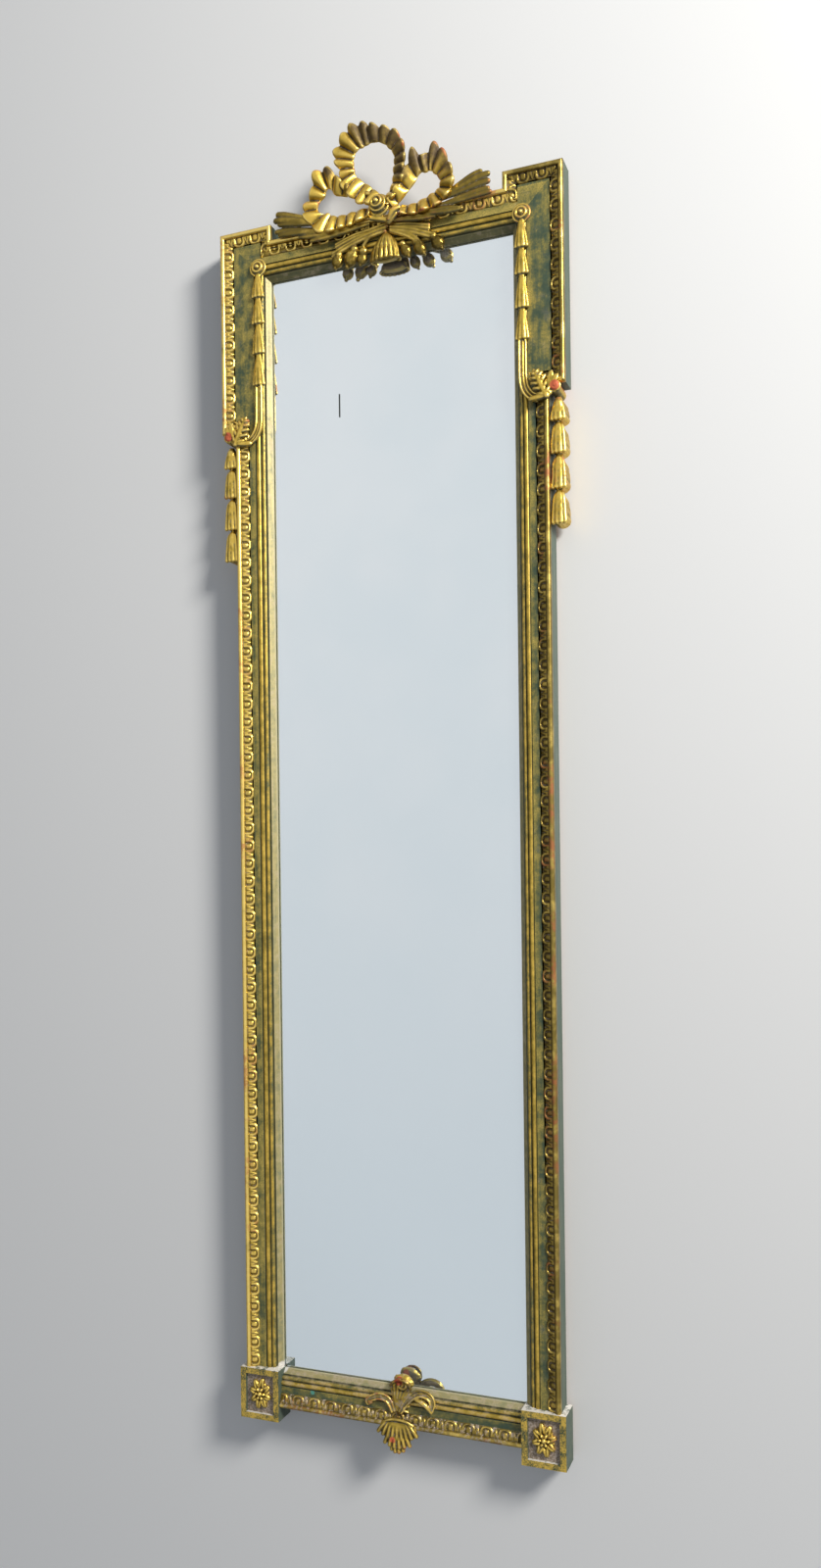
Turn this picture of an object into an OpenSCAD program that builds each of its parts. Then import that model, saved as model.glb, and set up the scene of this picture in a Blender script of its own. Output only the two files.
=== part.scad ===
// Pier mirror: a tall narrow looking glass in a carved, gilt and green-painted frame.
// Millimetres. The back of the frame is the plane y = 0, the carving faces -Y and +Z is up.
// The origin is on the back of the top rail, in its middle, where the glass hangs from.

/* [Frame] */
// Height from the top of the ears to the foot of the corner blocks
frame_h = 1310; // [1150:10:1500]
// Width over the two stiles
frame_w = 356; // [330:2:430]
// Depth from the back to the crown of the outer bead
frame_d = 27; // [25.5:0.5:32]
// Height of the flat painted field above the back
field_h = 20.8; // [19.5:0.1:21.5]
// Width of the rounded bead along the outer edge
bead_w = 5.5; // [4.5:0.1:6]
// Width of the leaf-carved slope inside the bead
leaf_w = 9.3; // [8:0.1:10.5]
// Width of the flat painted field
field_w = 7.3; // [5.5:0.1:10]
// Width of the reeded moulding next to the glass
sight_w = 16.9; // [16.5:0.1:20]
// Width that the sight moulding is let into the stile and rail
sight_seat = 9.9; // [8:0.1:11]
// Thickness of the wood behind the sight moulding, which is also the depth of the glass rebate
rebate_h = 9.5; // [9:0.1:11]

/* [Ears and corner blocks] */
// How far an ear stands out from the stile and above the rail
ear_out = 17; // [15.5:0.5:22]
// Width of an ear along the top
ear_w = 63; // [56:1:80]
// Height of an ear down the side
ear_h = 222; // [190:2:260]
// How far a corner block stands out beside the stile
block_out = 6; // [3:0.5:10]
// How far a corner block hangs below the bottom rail
block_drop = 15; // [8:0.5:20]
// How far a corner block reaches in past the sight edge
block_in = 1.5; // [0.5:0.1:3]
// How far a corner block stands in front of the bead
block_proud = 1.5; // [0.5:0.1:3]
// Width of the raised border round the sunk panel of a block
block_border = 6.5; // [5:0.5:8]
// Depth of the sunk panel
panel_sink = 3.5; // [2:0.5:5]

/* [Joinery] */
// Radius of the dowels in the corner blocks
dowel_r = 4; // [3:0.25:4.5]
// Length of a dowel on each side of its joint
dowel_reach = 16; // [10:1:20]
// Thickness of the keys across the top mitres
key_t = 2; // [1.5:0.1:3]
// Length of a key along each outer edge
key_leg = 21; // [14:1:21]
// Glue line round a dowel or key
glue = 0.1; // [0.05:0.01:0.2]

/* [Glass and back] */
// Thickness of the glass plate
glass_t = 3; // [2:0.1:3.5]
// Thickness of the silvering on the back of the glass
silver_t = 0.2; // [0.1:0.05:0.3]
// Thickness of the two backboards
board_t = 4; // [3:0.1:4]
// Room left round the glass and the backboards in the rebate
glass_gap = 0.8; // [0.5:0.1:1.5]
// Length of the two blocks that the glass stands on
setting_w = 30; // [20:1:50]
// Joint between the two backboards
board_joint = 0.6; // [0.3:0.1:1]
// Radius of the brads that hold the backboards
brad_r = 0.6; // [0.4:0.1:0.8]
// Length of a brad
brad_l = 14; // [12:0.5:18]
// Length of a brad inside the frame
brad_in = 6; // [4:0.5:8]

/* [Hangers] */
// Distance of the hanger hinges below the origin
hanger_drop = 230; // [190:5:320]
// Width of a hanger plate
plate_w = 14; // [10:1:18]
// Length of a hanger plate below its hinge
plate_l = 50; // [46:1:60]
// Thickness of a hanger plate
plate_t = 1.2; // [1:0.1:1.6]
// Radius of the ring wire
wire_r = 1.5; // [1.2:0.1:1.7]
// Radius of the round end of the ring
ring_r = 11; // [10:0.5:13]
// Running clearance of the ring bar in its knuckle, all round
hinge_fit = 0.1; // [0.05:0.01:0.1]
// Radius of the hanger screws
screw_r = 1.5; // [1:0.1:1.8]
// Length of a hanger screw below its head
screw_l = 13; // [8:0.5:15]
// Radius of a screw head
head_r = 3; // [2.5:0.1:3.5]

/* [Husk drops] */
// Half width of an inner husk at its mouth
husk_r = 8; // [6:0.25:9]
// Height that an inner husk stands above the moulding
husk_t = 5.5; // [4:0.25:7]
// Mean length of an inner husk
husk_l = 30; // [26:0.5:33]
// Radius of the ringed boss at the top of each inner drop
boss_r = 9.5; // [8:0.25:10.5]
// Mean length of a husk in the outer drops
drop_l = 32.1; // [28:0.1:36]

/* [Crest and base ornaments] */
// Height of the bow's carving in front of the bead
bow_t = 10; // [8:0.5:12]
// Radius of the boss on the knot
knot_r = 11; // [9:0.25:11.5]
// Height of the leaves in front of the bead
spray_t = 6; // [4.5:0.25:7]
// Half width of the fluted bell at its mouth
bell_r = 17.5; // [15:0.25:19]
// Length of the fluted bell
bell_l = 28; // [25:0.5:31]
// Half width of the palmette under the bottom rail
palm_r = 23.5; // [20:0.25:26]
// How far the palmette reaches below the bottom rail
palm_drop = 24; // [21:0.5:30]
// Width of the strap below the inner husks
strap_w = 9; // [6:0.5:10]

/* [Hidden] */
$fn = 32;
// A size larger than the part, for cutting planes
far = 400;
// Depth of a cut that starts outside the surface it opens
nick = 1;

// Widths across the face, from the outer edge inwards
slope_w = bead_w + leaf_w;
field_end = slope_w + field_w;
face_w = field_end + sight_w;
rebate_w = field_end + sight_seat;

// Places on the frame
side_x = frame_w / 2;
sight_x = side_x - face_w;
rail_top = face_w / 2;
ear_top = rail_top + ear_out;
ear_foot = ear_top - ear_h;
foot = ear_top - frame_h;
rail_foot = foot + block_drop;
block_h = block_drop + face_w + block_in;
block_w = block_out + face_w + block_in;
block_top = foot + block_h;
block_inner = side_x + block_out - block_w;
stile_l = rail_top - block_top;

// Heights above the back of the sight moulding's reeds
reed1_r = 2.8;
reed1_h = field_h - 2.4;
reed1_w = field_end + 3;
reed2_r = 2.4;
reed2_h = field_h - 4.2;
reed2_w = reed1_w + reed1_r + reed2_r - 0.2;
lip_h = 1.5;
seat_h = reed1_h + reed1_r;

// Cross-section of a stile or rail: w across the face, h forward from the back
module board_section() {
  arris = 0.6;
  polygon([
    [arris, 0], [rebate_w, 0], [rebate_w, rebate_h], [field_end, rebate_h],
    [field_end, field_h], [0, field_h], [0, arris]
  ]);
}

// Cross-section of the applied bead and leaf slope
module leaf_section() {
  bead_r = bead_w / 2;
  bead_h = frame_d - bead_r;
  translate([0, field_h]) square([bead_w, bead_h - field_h]);
  translate([bead_r, bead_h]) circle(r = bead_r);
  polygon([
    [bead_w - 0.4, field_h], [slope_w, field_h], [slope_w - 0.6, field_h + 1.4],
    [bead_w + leaf_w * 0.6, frame_d - 2.6], [bead_w - 0.4, frame_d - 2]
  ]);
}

// Cross-section of the reeded moulding that holds the glass
module sight_section() {
  face = sight_w + field_end;
  fillet_w = reed2_w + reed2_r - 0.3;
  difference() {
    union() {
      polygon([
        [field_end, rebate_h], [face, rebate_h], [face, rebate_h + lip_h],
        [fillet_w + 1.8, field_h - 5.2], [fillet_w, field_h - 5.2], [fillet_w, reed2_h],
        [reed1_w, reed1_h + 0.5], [field_end, reed1_h + 0.5]
      ]);
      translate([reed1_w, reed1_h]) circle(r = reed1_r);
      translate([reed2_w, reed2_h]) circle(r = reed2_r);
    }
    // the hollow that runs down to the glass
    translate([face + 0.6, field_h - 3.4]) circle(r = 5.2);
    // nothing stands outside the seat
    translate([0, 0]) square([field_end, frame_d]);
  }
}

// A straight length of section, cut square (0), mitred at a salient corner (1)
// or mitred at a re-entrant corner (-1) at its start and end. A strip that is one piece
// with its neighbour runs past the mitre by the small lap.
module strip(len, from, to, start, end, lap = 0) {
  first = lap * abs(start);
  last = len + lap * abs(end);
  intersection() {
    translate([-far / 4, 0, 0]) rotate([90, 0, 90]) linear_extrude(len + far / 2) children();
    linear_extrude(frame_d + nick) polygon([
      [start * from - first, from], [last - end * from, from],
      [last - end * to, to], [start * to - first, to]
    ]);
  }
}

// Lay a strip on the frame: it starts at x, z and runs to the right, its inside
// edge upwards, before it is turned about Y
module lay(x, z, turn) {
  translate([x, 0, z]) rotate([0, turn, 0]) rotate([90, 0, 0]) children();
}

module left() {
  mirror([1, 0, 0]) children();
}

// Part of a shape that lies in front of the height h
module in_front(h) {
  intersection() {
    children();
    translate([-far, -far - h, -4 * far]) cube([2 * far, far, 8 * far]);
  }
}

// ---- stiles, rails, ears and corner blocks ----

module key(clear) {
  rotate([90, 0, 0]) translate([0, 0, 12 - clear]) linear_extrude(key_t + 2 * clear) polygon([
    [side_x, rail_top], [side_x - key_leg - clear, rail_top], [side_x, rail_top - key_leg - clear]
  ]);
}

dowel_in = 11;
dowel_h = 10;

module upright_dowel(clear) {
  translate([side_x - dowel_in, -dowel_h, block_top - dowel_reach - clear])
    cylinder(r = dowel_r + clear, h = 2 * (dowel_reach + clear));
}

module level_dowel(clear) {
  translate([block_inner - dowel_reach - clear, -dowel_h, rail_foot + dowel_in])
    rotate([0, 90, 0]) cylinder(r = dowel_r + clear, h = 2 * (dowel_reach + clear));
}

// Brads lie across the edge of the backboards, at these places down a stile and along a rail
brad_h = rebate_h - glass_t - silver_t - board_t;
brad_y = -(brad_h - brad_r);
brad_count = 5;
stile_brads = [for (i = [0 : brad_count - 1]) -stile_l * (i + 0.5) / brad_count];
rail_brads = [-sight_x / 2, sight_x / 2];
rebate_x = side_x - rebate_w;
rebate_top = rail_top - rebate_w;
rebate_foot = rail_foot + rebate_w;

module brad(clear) {
  translate([-brad_l + brad_in, brad_y, 0]) rotate([0, 90, 0])
    cylinder(r = brad_r + clear, h = brad_l + clear, $fn = 16);
}

module stile_brad_row(clear) {
  for (z = stile_brads) translate([rebate_x, 0, z]) brad(clear);
}

module rail_brad_row(z, up, clear) {
  for (x = rail_brads) translate([x, 0, z]) rotate([0, -90 * up, 0]) brad(clear);
}

screw_drops = [30, 43];
// The ring hangs clear of the plate below its hinge
ring_clear = 0.6;
hinge_y = plate_t + wire_r + ring_clear;
hanger_x = side_x - rebate_w / 2;

module screw_row(clear) {
  for (d = screw_drops) translate([hanger_x, -screw_l - clear, -hanger_drop - d]) rotate([-90, 0, 0])
    cylinder(r = screw_r + clear, h = screw_l + plate_t + clear);
}

module stile() {
  difference() {
    lay(side_x, block_top, -90) strip(stile_l, 0, rebate_w, 0, 1) board_section();
    key(glue);
    upright_dowel(glue);
    stile_brad_row(glue);
    screw_row(glue);
  }
}

module left_stile() {
  color("darkseagreen") left() stile();
}

module right_stile() {
  color("darkseagreen") stile();
}

module top_rail() {
  color("darkseagreen") difference() {
    lay(side_x, rail_top, 180) strip(frame_w, 0, rebate_w, 1, 1) board_section();
    key(glue);
    left() key(glue);
    rail_brad_row(rebate_top, 1, glue);
  }
}

module bottom_rail() {
  color("darkseagreen") difference() {
    lay(-block_inner, rail_foot, 0) strip(2 * block_inner, 0, rebate_w, 0, 0) board_section();
    level_dowel(glue);
    left() level_dowel(glue);
    rail_brad_row(rebate_foot, -1, glue);
  }
}

module ear() {
  rotate([90, 0, 0]) linear_extrude(field_h) polygon([
    [side_x, ear_foot], [side_x + ear_out, ear_foot], [side_x + ear_out, ear_top],
    [side_x + ear_out - ear_w, ear_top], [side_x + ear_out - ear_w, rail_top], [side_x, rail_top]
  ]);
}

module left_ear() {
  color("darkseagreen") left() ear();
}

module right_ear() {
  color("darkseagreen") ear();
}

panel_w = block_w - 2 * block_border;
panel_h = block_h - 2 * block_border;
block_d = frame_d + block_proud;

module corner_block() {
  difference() {
    translate([block_inner, -block_d, foot]) cube([block_w, block_d, block_h]);
    translate([block_inner + block_border, -block_d - nick, foot + block_border])
      cube([panel_w, panel_sink + nick, panel_h]);
    // the corner of the glass rebate passes behind the block
    translate([block_inner - nick, -rebate_h, rebate_foot])
      cube([rebate_x - block_inner + nick, rebate_h + nick, block_h]);
    upright_dowel(glue);
    level_dowel(glue);
  }
}

module left_corner_block() {
  color("olivedrab") left() corner_block();
}

module right_corner_block() {
  color("olivedrab") corner_block();
}

module corner_dowels() {
  color("tan") {
    upright_dowel(0);
    level_dowel(0);
    left() upright_dowel(0);
    left() level_dowel(0);
  }
}

module mitre_keys() {
  color("tan") {
    key(0);
    left() key(0);
  }
}

// ---- applied mouldings ----

// Overlap of two lengths of one carved moulding at a mitre
mitre_lap = 0.02;

module leaf_strip(x, z, turn, len, start, end) {
  lay(x, z, turn) strip(len, 0, slope_w, start, end, mitre_lap) leaf_section();
}

// Up the stile, round the ear and down into its notch
module leaf_moulding() {
  leaf_strip(side_x, block_top, -90, ear_foot - block_top, 0, -1);
  leaf_strip(side_x, ear_foot, 0, ear_out, -1, 1);
  leaf_strip(side_x + ear_out, ear_foot, -90, ear_h, 1, 1);
  leaf_strip(side_x + ear_out, ear_top, 180, ear_w, 1, 1);
  leaf_strip(side_x + ear_out - ear_w, ear_top, 90, ear_out, 1, -1);
}

module left_leaf_moulding() {
  color("goldenrod") left() leaf_moulding();
}

module right_leaf_moulding() {
  color("goldenrod") leaf_moulding();
}

module top_leaf_moulding() {
  notch_x = side_x + ear_out - ear_w;
  color("goldenrod") leaf_strip(notch_x, rail_top, 180, 2 * notch_x, -1, -1);
}

module bottom_leaf_moulding() {
  color("goldenrod") leaf_strip(-block_inner, rail_foot, 0, 2 * block_inner, 0, 0);
}

module sight_moulding() {
  lay(side_x, block_top, -90) strip(stile_l, field_end, face_w, 0, 1) sight_section();
}

module left_sight_moulding() {
  color("darkgoldenrod") left() sight_moulding();
}

module right_sight_moulding() {
  color("darkgoldenrod") sight_moulding();
}

module top_sight_moulding() {
  color("darkgoldenrod") lay(side_x, rail_top, 180)
    strip(frame_w, field_end, face_w, 1, 1) sight_section();
}

module bottom_sight_moulding() {
  color("darkgoldenrod") lay(-block_inner, rail_foot, 0)
    strip(2 * block_inner, field_end, face_w, 0, 0) sight_section();
}

// ---- carved and cast ornaments ----

// A low rounded lobe: its middle is at x, z, its long axis at the angle turn from +X,
// and it stands t in front of the height h
module lobe(x, z, turn, long, wide, h, t) {
  in_front(h) translate([x, -h - t * 0.3, z]) rotate([0, -turn, 0])
    scale([long / 2, t * 0.7, wide / 2]) hull() sphere(r = 1, $fn = 8);
}

// A tapering leaf from one point to another
module leaf(from, to, wide, h, t) {
  span = to - from;
  in_front(h) hull() {
    translate([from[0], -h, from[1]]) scale([wide * 0.22, t * 0.6, wide * 0.22]) sphere(r = 1, $fn = 8);
    translate([from[0] + span[0] * 0.65, -h, from[1] + span[1] * 0.65])
      scale([wide / 2, t, wide / 2]) sphere(r = 1, $fn = 10);
    translate([to[0], -h, to[1]]) scale([wide * 0.16, t * 0.4, wide * 0.16]) sphere(r = 1, $fn = 8);
  }
}

// A bent band through a list of points
module band(points, thick, h, t) {
  in_front(h) for (i = [1 : len(points) - 1]) hull() for (p = [points[i - 1], points[i]])
    translate([p[0], -h, p[1]]) scale([thick / 2, t, thick / 2]) sphere(r = 1, $fn = 8);
}

module rosette() {
  petals = 8;
  floor_h = block_d - panel_sink;
  mid_x = block_inner + block_w / 2;
  mid_z = foot + block_h / 2;
  tall = panel_h / panel_w;
  petal_l = panel_w * 0.3;
  for (i = [0 : petals - 1]) {
    a = 360 * i / petals;
    lobe(mid_x + petal_l * cos(a), mid_z + petal_l * tall * sin(a), atan2(tall * sin(a), cos(a)),
         panel_w * 0.42, panel_w * 0.26, floor_h, 4.5);
  }
  lobe(mid_x, mid_z, 90, panel_w * 0.3 * tall, panel_w * 0.3, floor_h, 6);
}

module left_rosette() {
  color("gold") left() rosette();
}

module right_rosette() {
  color("gold") rosette();
}

// The carvings are drawn for a frame of this width, and grow and shrink with it
drawn_w = 356;
carve_k = frame_w / drawn_w;

// The bow is laid out from the middle of the rail's top edge: x, z, turn, long, wide
centre_lobes = [
  [-19, 22, 60, 27, 15], [-30, 32, 60, 21, 13], [-37, 40, 50, 19, 12], [-38, 49, 15, 15, 9],
  [-41, 59, 175, 19, 11], [-41, 72, 160, 22, 13], [-32, 83, 130, 24, 10], [-25, 86, 112, 29, 10],
  [-16, 86, 95, 23, 10], [-4, 84, 88, 13, 14], [13, 75, 55, 17, 15], [22, 63, 20, 15, 12],
  [23, 48, 0, 15, 13], [22, 36, -10, 15, 11], [20, 26, -20, 15, 11], [15, 16, -35, 15, 11]
];
left_lobes = [
  [-48, 37, 60, 14, 11], [-58, 50, 100, 21, 11], [-69, 48, 125, 21, 12], [-70, 31, 165, 16, 12],
  [-82, 22, 105, 21, 15], [-66, 4, 65, 23, 19], [-49, -1, 95, 15, 16], [-31, 0, 90, 17, 16],
  [-17, 3, 90, 13, 12]
];
right_lobes = [
  [27, 19, 140, 14, 12], [34, 32, 140, 15, 12], [41, 47, 97, 24, 14], [51, 38, 100, 15, 11],
  [59, 45, 75, 26, 12], [67, 37, 45, 21, 12], [74, 21, 15, 20, 13], [73, 10, -20, 18, 13],
  [62, 1, -60, 18, 16], [46, -4, -80, 14, 13], [32, -5, -90, 12, 12]
];
centre_ring = [
  [-6, 16], [-24, 34], [-33, 46], [-33, 68], [-22, 78], [-4, 79], [12, 69], [17, 55], [17, 40], [8, 16]
];
left_ring = [[-12, 10], [-45, 30], [-58, 39], [-68, 32], [-72, 18], [-60, 8], [-16, 4]];
right_ring = [[8, 8], [24, 14], [34, 32], [50, 34], [62, 30], [65, 16], [56, 6], [30, -2], [12, -2]];
// A carving drawn about a point of the frame's middle line, at the height z
module carved(z) {
  translate([0, 0, z]) scale([carve_k, 1, carve_k]) children();
}

module bow_loop(lobes, ring) {
  for (b = lobes) lobe(b[0], b[1], b[2], b[3], b[4], frame_d, bow_t);
  band(ring, 7, frame_d, bow_t * 0.55);
}

knot_z = 7.5;

// Height of the ribbons where they pass under the knot
under_h = frame_d + bow_t * 0.4;

module knot_shape() {
  in_front(under_h) translate([0, -under_h, knot_z]) hull() {
    rotate([90, 0, 0]) cylinder(r = knot_r, h = bow_t * 0.3, $fn = 20);
    rotate([90, 0, 0]) cylinder(r = knot_r * 0.5, h = bow_t * 0.8, $fn = 20);
  }
  lobe(11, knot_z - 12, -30, 20, 15, under_h, bow_t * 0.6);
  lobe(-10, knot_z - 9, -150, 13, 12, under_h, bow_t * 0.4);
}

// The ribbons' crossing, a low flat boss
module crossing() {
  translate([0, -frame_d, knot_z]) rotate([90, 0, 0]) cylinder(r = knot_r, h = bow_t * 0.4, $fn = 20);
  translate([8, -frame_d, knot_z - 9]) rotate([90, 0, 0])
    cylinder(r = knot_r * 0.7, h = bow_t * 0.4, $fn = 16);
}

module all_loops() {
  bow_loop(centre_lobes, centre_ring);
  bow_loop(left_lobes, left_ring);
  bow_loop(right_lobes, right_ring);
  crossing();
}

module crest_bow() {
  color("gold") carved(rail_top) difference() {
    all_loops();
    knot_shape();
  }
}

module crest_knot() {
  color("gold") carved(rail_top) knot_shape();
}

module left_leaf_spray() {
  color("gold") carved(rail_top) difference() {
    union() {
      leaf([-30, -8], [-129, 20], 16, frame_d, spray_t);
      leaf([-45, -10], [-125, 4], 9, frame_d, spray_t * 0.9);
      leaf([-14, -8], [-96, -9], 8, frame_d, spray_t * 0.8);
    }
    all_loops();
  }
}

module right_leaf_spray() {
  color("gold") carved(rail_top) difference() {
    union() {
      leaf([24, -6], [125, 13], 15, frame_d, spray_t);
      leaf([50, -8], [122, 2], 9, frame_d, spray_t * 0.9);
      leaf([40, -8], [99, -5], 8, frame_d, spray_t * 0.8);
      leaf([14, -10], [87, -14], 8, frame_d, spray_t * 0.8);
    }
    all_loops();
  }
}

// The buds hang on stalks from under the knot, over the field and the reeds
bud_h = seat_h;
bud_t = frame_d - seat_h;
bud_root = rail_top - slope_w - 2.5 * carve_k;

module left_buds() {
  union() {
    leaf([-6, 0], [-60, -8], 11, bud_h, bud_t);
    leaf([-6, -2], [-44, -20], 10, bud_h, bud_t);
    lobe(-55, -19, 60, 17, 14, bud_h, bud_t);
    lobe(-37, -21, 45, 16, 14, bud_h, bud_t);
    lobe(-23, -17, 60, 12, 9, bud_h, bud_t);
    band([[-6, -2], [-22, -14]], 5, bud_h, bud_t * 0.8);
    band([[-50, -9], [-55, -18]], 6, bud_h, bud_t * 0.8);
  }
}

module right_buds() {
  union() {
    leaf([10, 0], [62, -11], 9, bud_h, bud_t * 0.95);
    leaf([11, -2], [69, -24], 12, bud_h, bud_t);
    leaf([10, -4], [51, -32], 9, bud_h, bud_t * 0.9);
    lobe(64, -24, -30, 16, 13, bud_h, bud_t);
    lobe(47, -30, -38, 15, 11, bud_h, bud_t * 0.97);
    lobe(26, -25, -65, 14, 9, bud_h, bud_t * 0.93);
    band([[13, -4], [25, -21]], 6, bud_h, bud_t * 0.77);
  }
}

module bell_shape() {
  in_front(bud_h) translate([2, -bud_h, 0]) {
    hull() {
      translate([2, 0, -1]) scale([4, 4, 3]) sphere(r = 1, $fn = 10);
      translate([0, 0, -bell_l * 0.55]) scale([bell_r * 0.72, bud_t * 1.15, 1]) cylinder(r = 1, h = 1, $fn = 20);
    }
    hull() {
      translate([0, 0, -bell_l * 0.55]) scale([bell_r * 0.72, bud_t * 1.15, 1]) cylinder(r = 1, h = 1, $fn = 20);
      translate([0, 0, -bell_l]) scale([bell_r, bud_t * 1.4, 1]) cylinder(r = 1, h = 2, $fn = 20);
    }
  }
}

module left_bud_spray() {
  color("gold") carved(bud_root) difference() {
    left_buds();
    bell_shape();
  }
}

module right_bud_spray() {
  color("gold") carved(bud_root) difference() {
    right_buds();
    bell_shape();
  }
}

module crest_bell() {
  color("gold") carved(bud_root) bell_shape();
}

// Inner drop: a ringed boss on the mitre of the sight moulding, four husks and a stem
drop_x = side_x - reed1_w - 2;
boss_z = rail_top - reed1_w - 2.5;
// The four husks' lengths, as shares of the mean
husk_steps = [0.9, 0.9, 1.14, 1.06];
husk_tops = [0, husk_steps[0], husk_steps[0] + husk_steps[1], 4 - husk_steps[3]] * husk_l;
stem_z = boss_z - boss_r - 4 * husk_l;

module husk(z, long) {
  in_front(seat_h) translate([drop_x, -seat_h, z]) {
    hull() {
      scale([husk_r * 0.5, husk_t * 0.6, 2]) sphere(r = 1, $fn = 8);
      translate([0, 0, -long * 0.6]) scale([husk_r * 0.85, husk_t * 0.9, 2]) sphere(r = 1, $fn = 10);
    }
    hull() {
      translate([0, 0, -long * 0.6]) scale([husk_r * 0.85, husk_t * 0.9, 2]) sphere(r = 1, $fn = 10);
      translate([0, 0, -long + 1]) scale([husk_r, husk_t, 1]) cylinder(r = 1, h = 2, $fn = 10);
    }
  }
}

module inner_drop() {
  translate([drop_x, -seat_h, boss_z]) rotate([90, 0, 0]) {
    cylinder(r1 = boss_r, r2 = boss_r * 0.75, h = husk_t * 0.7, $fn = 24);
    cylinder(r1 = boss_r * 0.6, r2 = boss_r * 0.3, h = husk_t * 1.2, $fn = 24);
  }
  for (i = [0 : 3]) husk(boss_z - boss_r + 1 - husk_tops[i], husk_l * husk_steps[i]);
  band([
    [drop_x, stem_z + 3], [drop_x, stem_z - 34], [drop_x + 2, stem_z - 44],
    [drop_x + 6, stem_z - 52], [side_x - slope_w - 3.4, stem_z - 58]
  ], strap_w, seat_h, husk_t * 0.8);
}

module left_inner_drop() {
  color("gold") left() inner_drop();
}

module right_inner_drop() {
  color("gold") inner_drop();
}

// Scroll under the ear, with a leaf that climbs over the leaf slope beside it
volute_r = 6;

module ear_scroll() {
  gap = 0.3;
  translate([side_x + volute_r + gap, 0, ear_foot - volute_r - gap]) rotate([90, 0, 0])
    cylinder(r = volute_r, h = frame_d + 2, $fn = 24);
  leaf([side_x + 8, ear_foot - 8], [side_x - 15, ear_foot + 14], 13, frame_d, 5);
  leaf([side_x + 8, ear_foot - 9], [side_x - 18, ear_foot - 2], 12, frame_d, 4.5);
  leaf([side_x + 6, ear_foot - 10], [side_x - 14, ear_foot - 20], 10, frame_d, 4);
}

module left_ear_scroll() {
  color("gold") left() ear_scroll();
}

module right_ear_scroll() {
  color("gold") ear_scroll();
}

// Outer drop: four husks carved from a strip beside the stile, as wide as the ear stands out.
// The first husk hangs from the scroll, and each other one has its tip in the mouth above it.
drop_h = frame_d - 1;
drop_steps = [0.77, 1.03, 1.1, 1.1];
drop_mouths = [0, drop_steps[0], drop_steps[0] + drop_steps[1], 4 - drop_steps[3]] * drop_l;

module outer_husk(long, crown, tuck) {
  mid = ear_out / 2;
  rise = crown + tuck;
  polygon(concat(
    [for (a = [0 : 15 : 90]) [mid + mid * sin(a), rise * cos(a) - crown]],
    [[ear_out, -long * 0.9], [ear_out - 1.2, -long], [0, -long]],
    [for (a = [90 : -15 : 15]) [mid - mid * sin(a), rise * cos(a) - crown]]
  ));
}

module outer_drop() {
  top = ear_foot - 2 * volute_r - 0.7;
  round_r = ear_out * 0.75;
  intersection() {
    for (i = [0 : 3]) translate([side_x, 0, top - drop_mouths[i]]) rotate([90, 0, 0])
      linear_extrude(drop_h + nick)
        outer_husk(drop_l * drop_steps[i], i == 0 ? drop_l * 0.45 : drop_l * 0.2, i == 0 ? 0 : 4);
    translate([side_x, 0, top - far]) linear_extrude(far + drop_l) intersection() {
      translate([0, -drop_h]) square([ear_out, drop_h]);
      union() {
        translate([0, -drop_h + round_r]) square([ear_out, drop_h]);
        translate([ear_out / 2, -drop_h + round_r]) circle(r = round_r);
      }
    }
  }
}

module left_outer_drop() {
  color("gold") left() outer_drop();
}

module right_outer_drop() {
  color("gold") outer_drop();
}

// Acanthus leaf between two scrolls, laid out from the middle of the bottom rail's outer edge. It lies
// over the field and the reeds, its root stops at the foot of the leaf slope, and its tip clears the glass.
module base_acanthus() {
  root = slope_w;
  root_gap = 0.3;
  h = seat_h;
  color("gold") difference() {
    carved(rail_foot) {
      leaf([0, root + 3], [8, root + 35], 26, h, 8);
      leaf([0, root + 3], [-4, root + 29], 12, h, 6);
      band([
        [-4, root], [-7.3, root + 6.5], [-11, root + 12.5], [-19, root + 15], [-27, root + 12.5],
        [-33.5, root + 8.5], [-32, root + 4.5]
      ], 6, h, 5);
      band([
        [4, root], [6, root + 4.5], [10.5, root + 12], [19, root + 21], [28, root + 24.5],
        [36.5, root + 22], [40.2, root + 15.5], [38.5, root + 6.5]
      ], 7, h, 5);
      band([[23, root + 16.5], [29, root + 15.5], [34, root + 12]], 6, h, 5.5);
    }
    translate([-far, -far, rail_foot - far]) cube([2 * far, far, far + slope_w + root_gap]);
  }
}

// The leaves fan out from a hub above the rail's edge. The lowest is the longest.
module base_palmette() {
  side_ribs = 3;
  hub = 8.2;
  long_reach = palm_drop + hub;
  side_reach = palm_r * 0.74;
  color("gold") carved(rail_foot) for (i = [-side_ribs : side_ribs]) {
    a = -90 + i * 25;
    reach = long_reach - (long_reach - side_reach) * pow(abs(i) / side_ribs, 1.45);
    leaf([2, 3], [2 + min(reach, 1.12 * palm_r) * cos(a), hub + reach * sin(a)], palm_r * 0.47, frame_d, 8);
  }
}

// ---- glass and back ----

glass_x = rebate_x - glass_gap;
glass_top = rebate_top - glass_gap;
glass_foot = rebate_foot + glass_gap;
glass_back = rebate_h - glass_t;
silver_back = glass_back - silver_t;

module plate(x0, x1, back, thick) {
  translate([x0, -back - thick, glass_foot]) cube([x1 - x0, thick, glass_top - glass_foot]);
}

module mirror_glass() {
  color("lightblue") plate(-glass_x, glass_x, glass_back, glass_t);
}

module silvering() {
  color("silver") plate(-glass_x, glass_x, silver_back, silver_t);
}

module setting_blocks() {
  color("tan") for (s = [-1, 1]) translate([s * glass_x / 2 - setting_w / 2, -rebate_h, rebate_foot])
    cube([setting_w, glass_t, glass_gap]);
}

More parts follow.
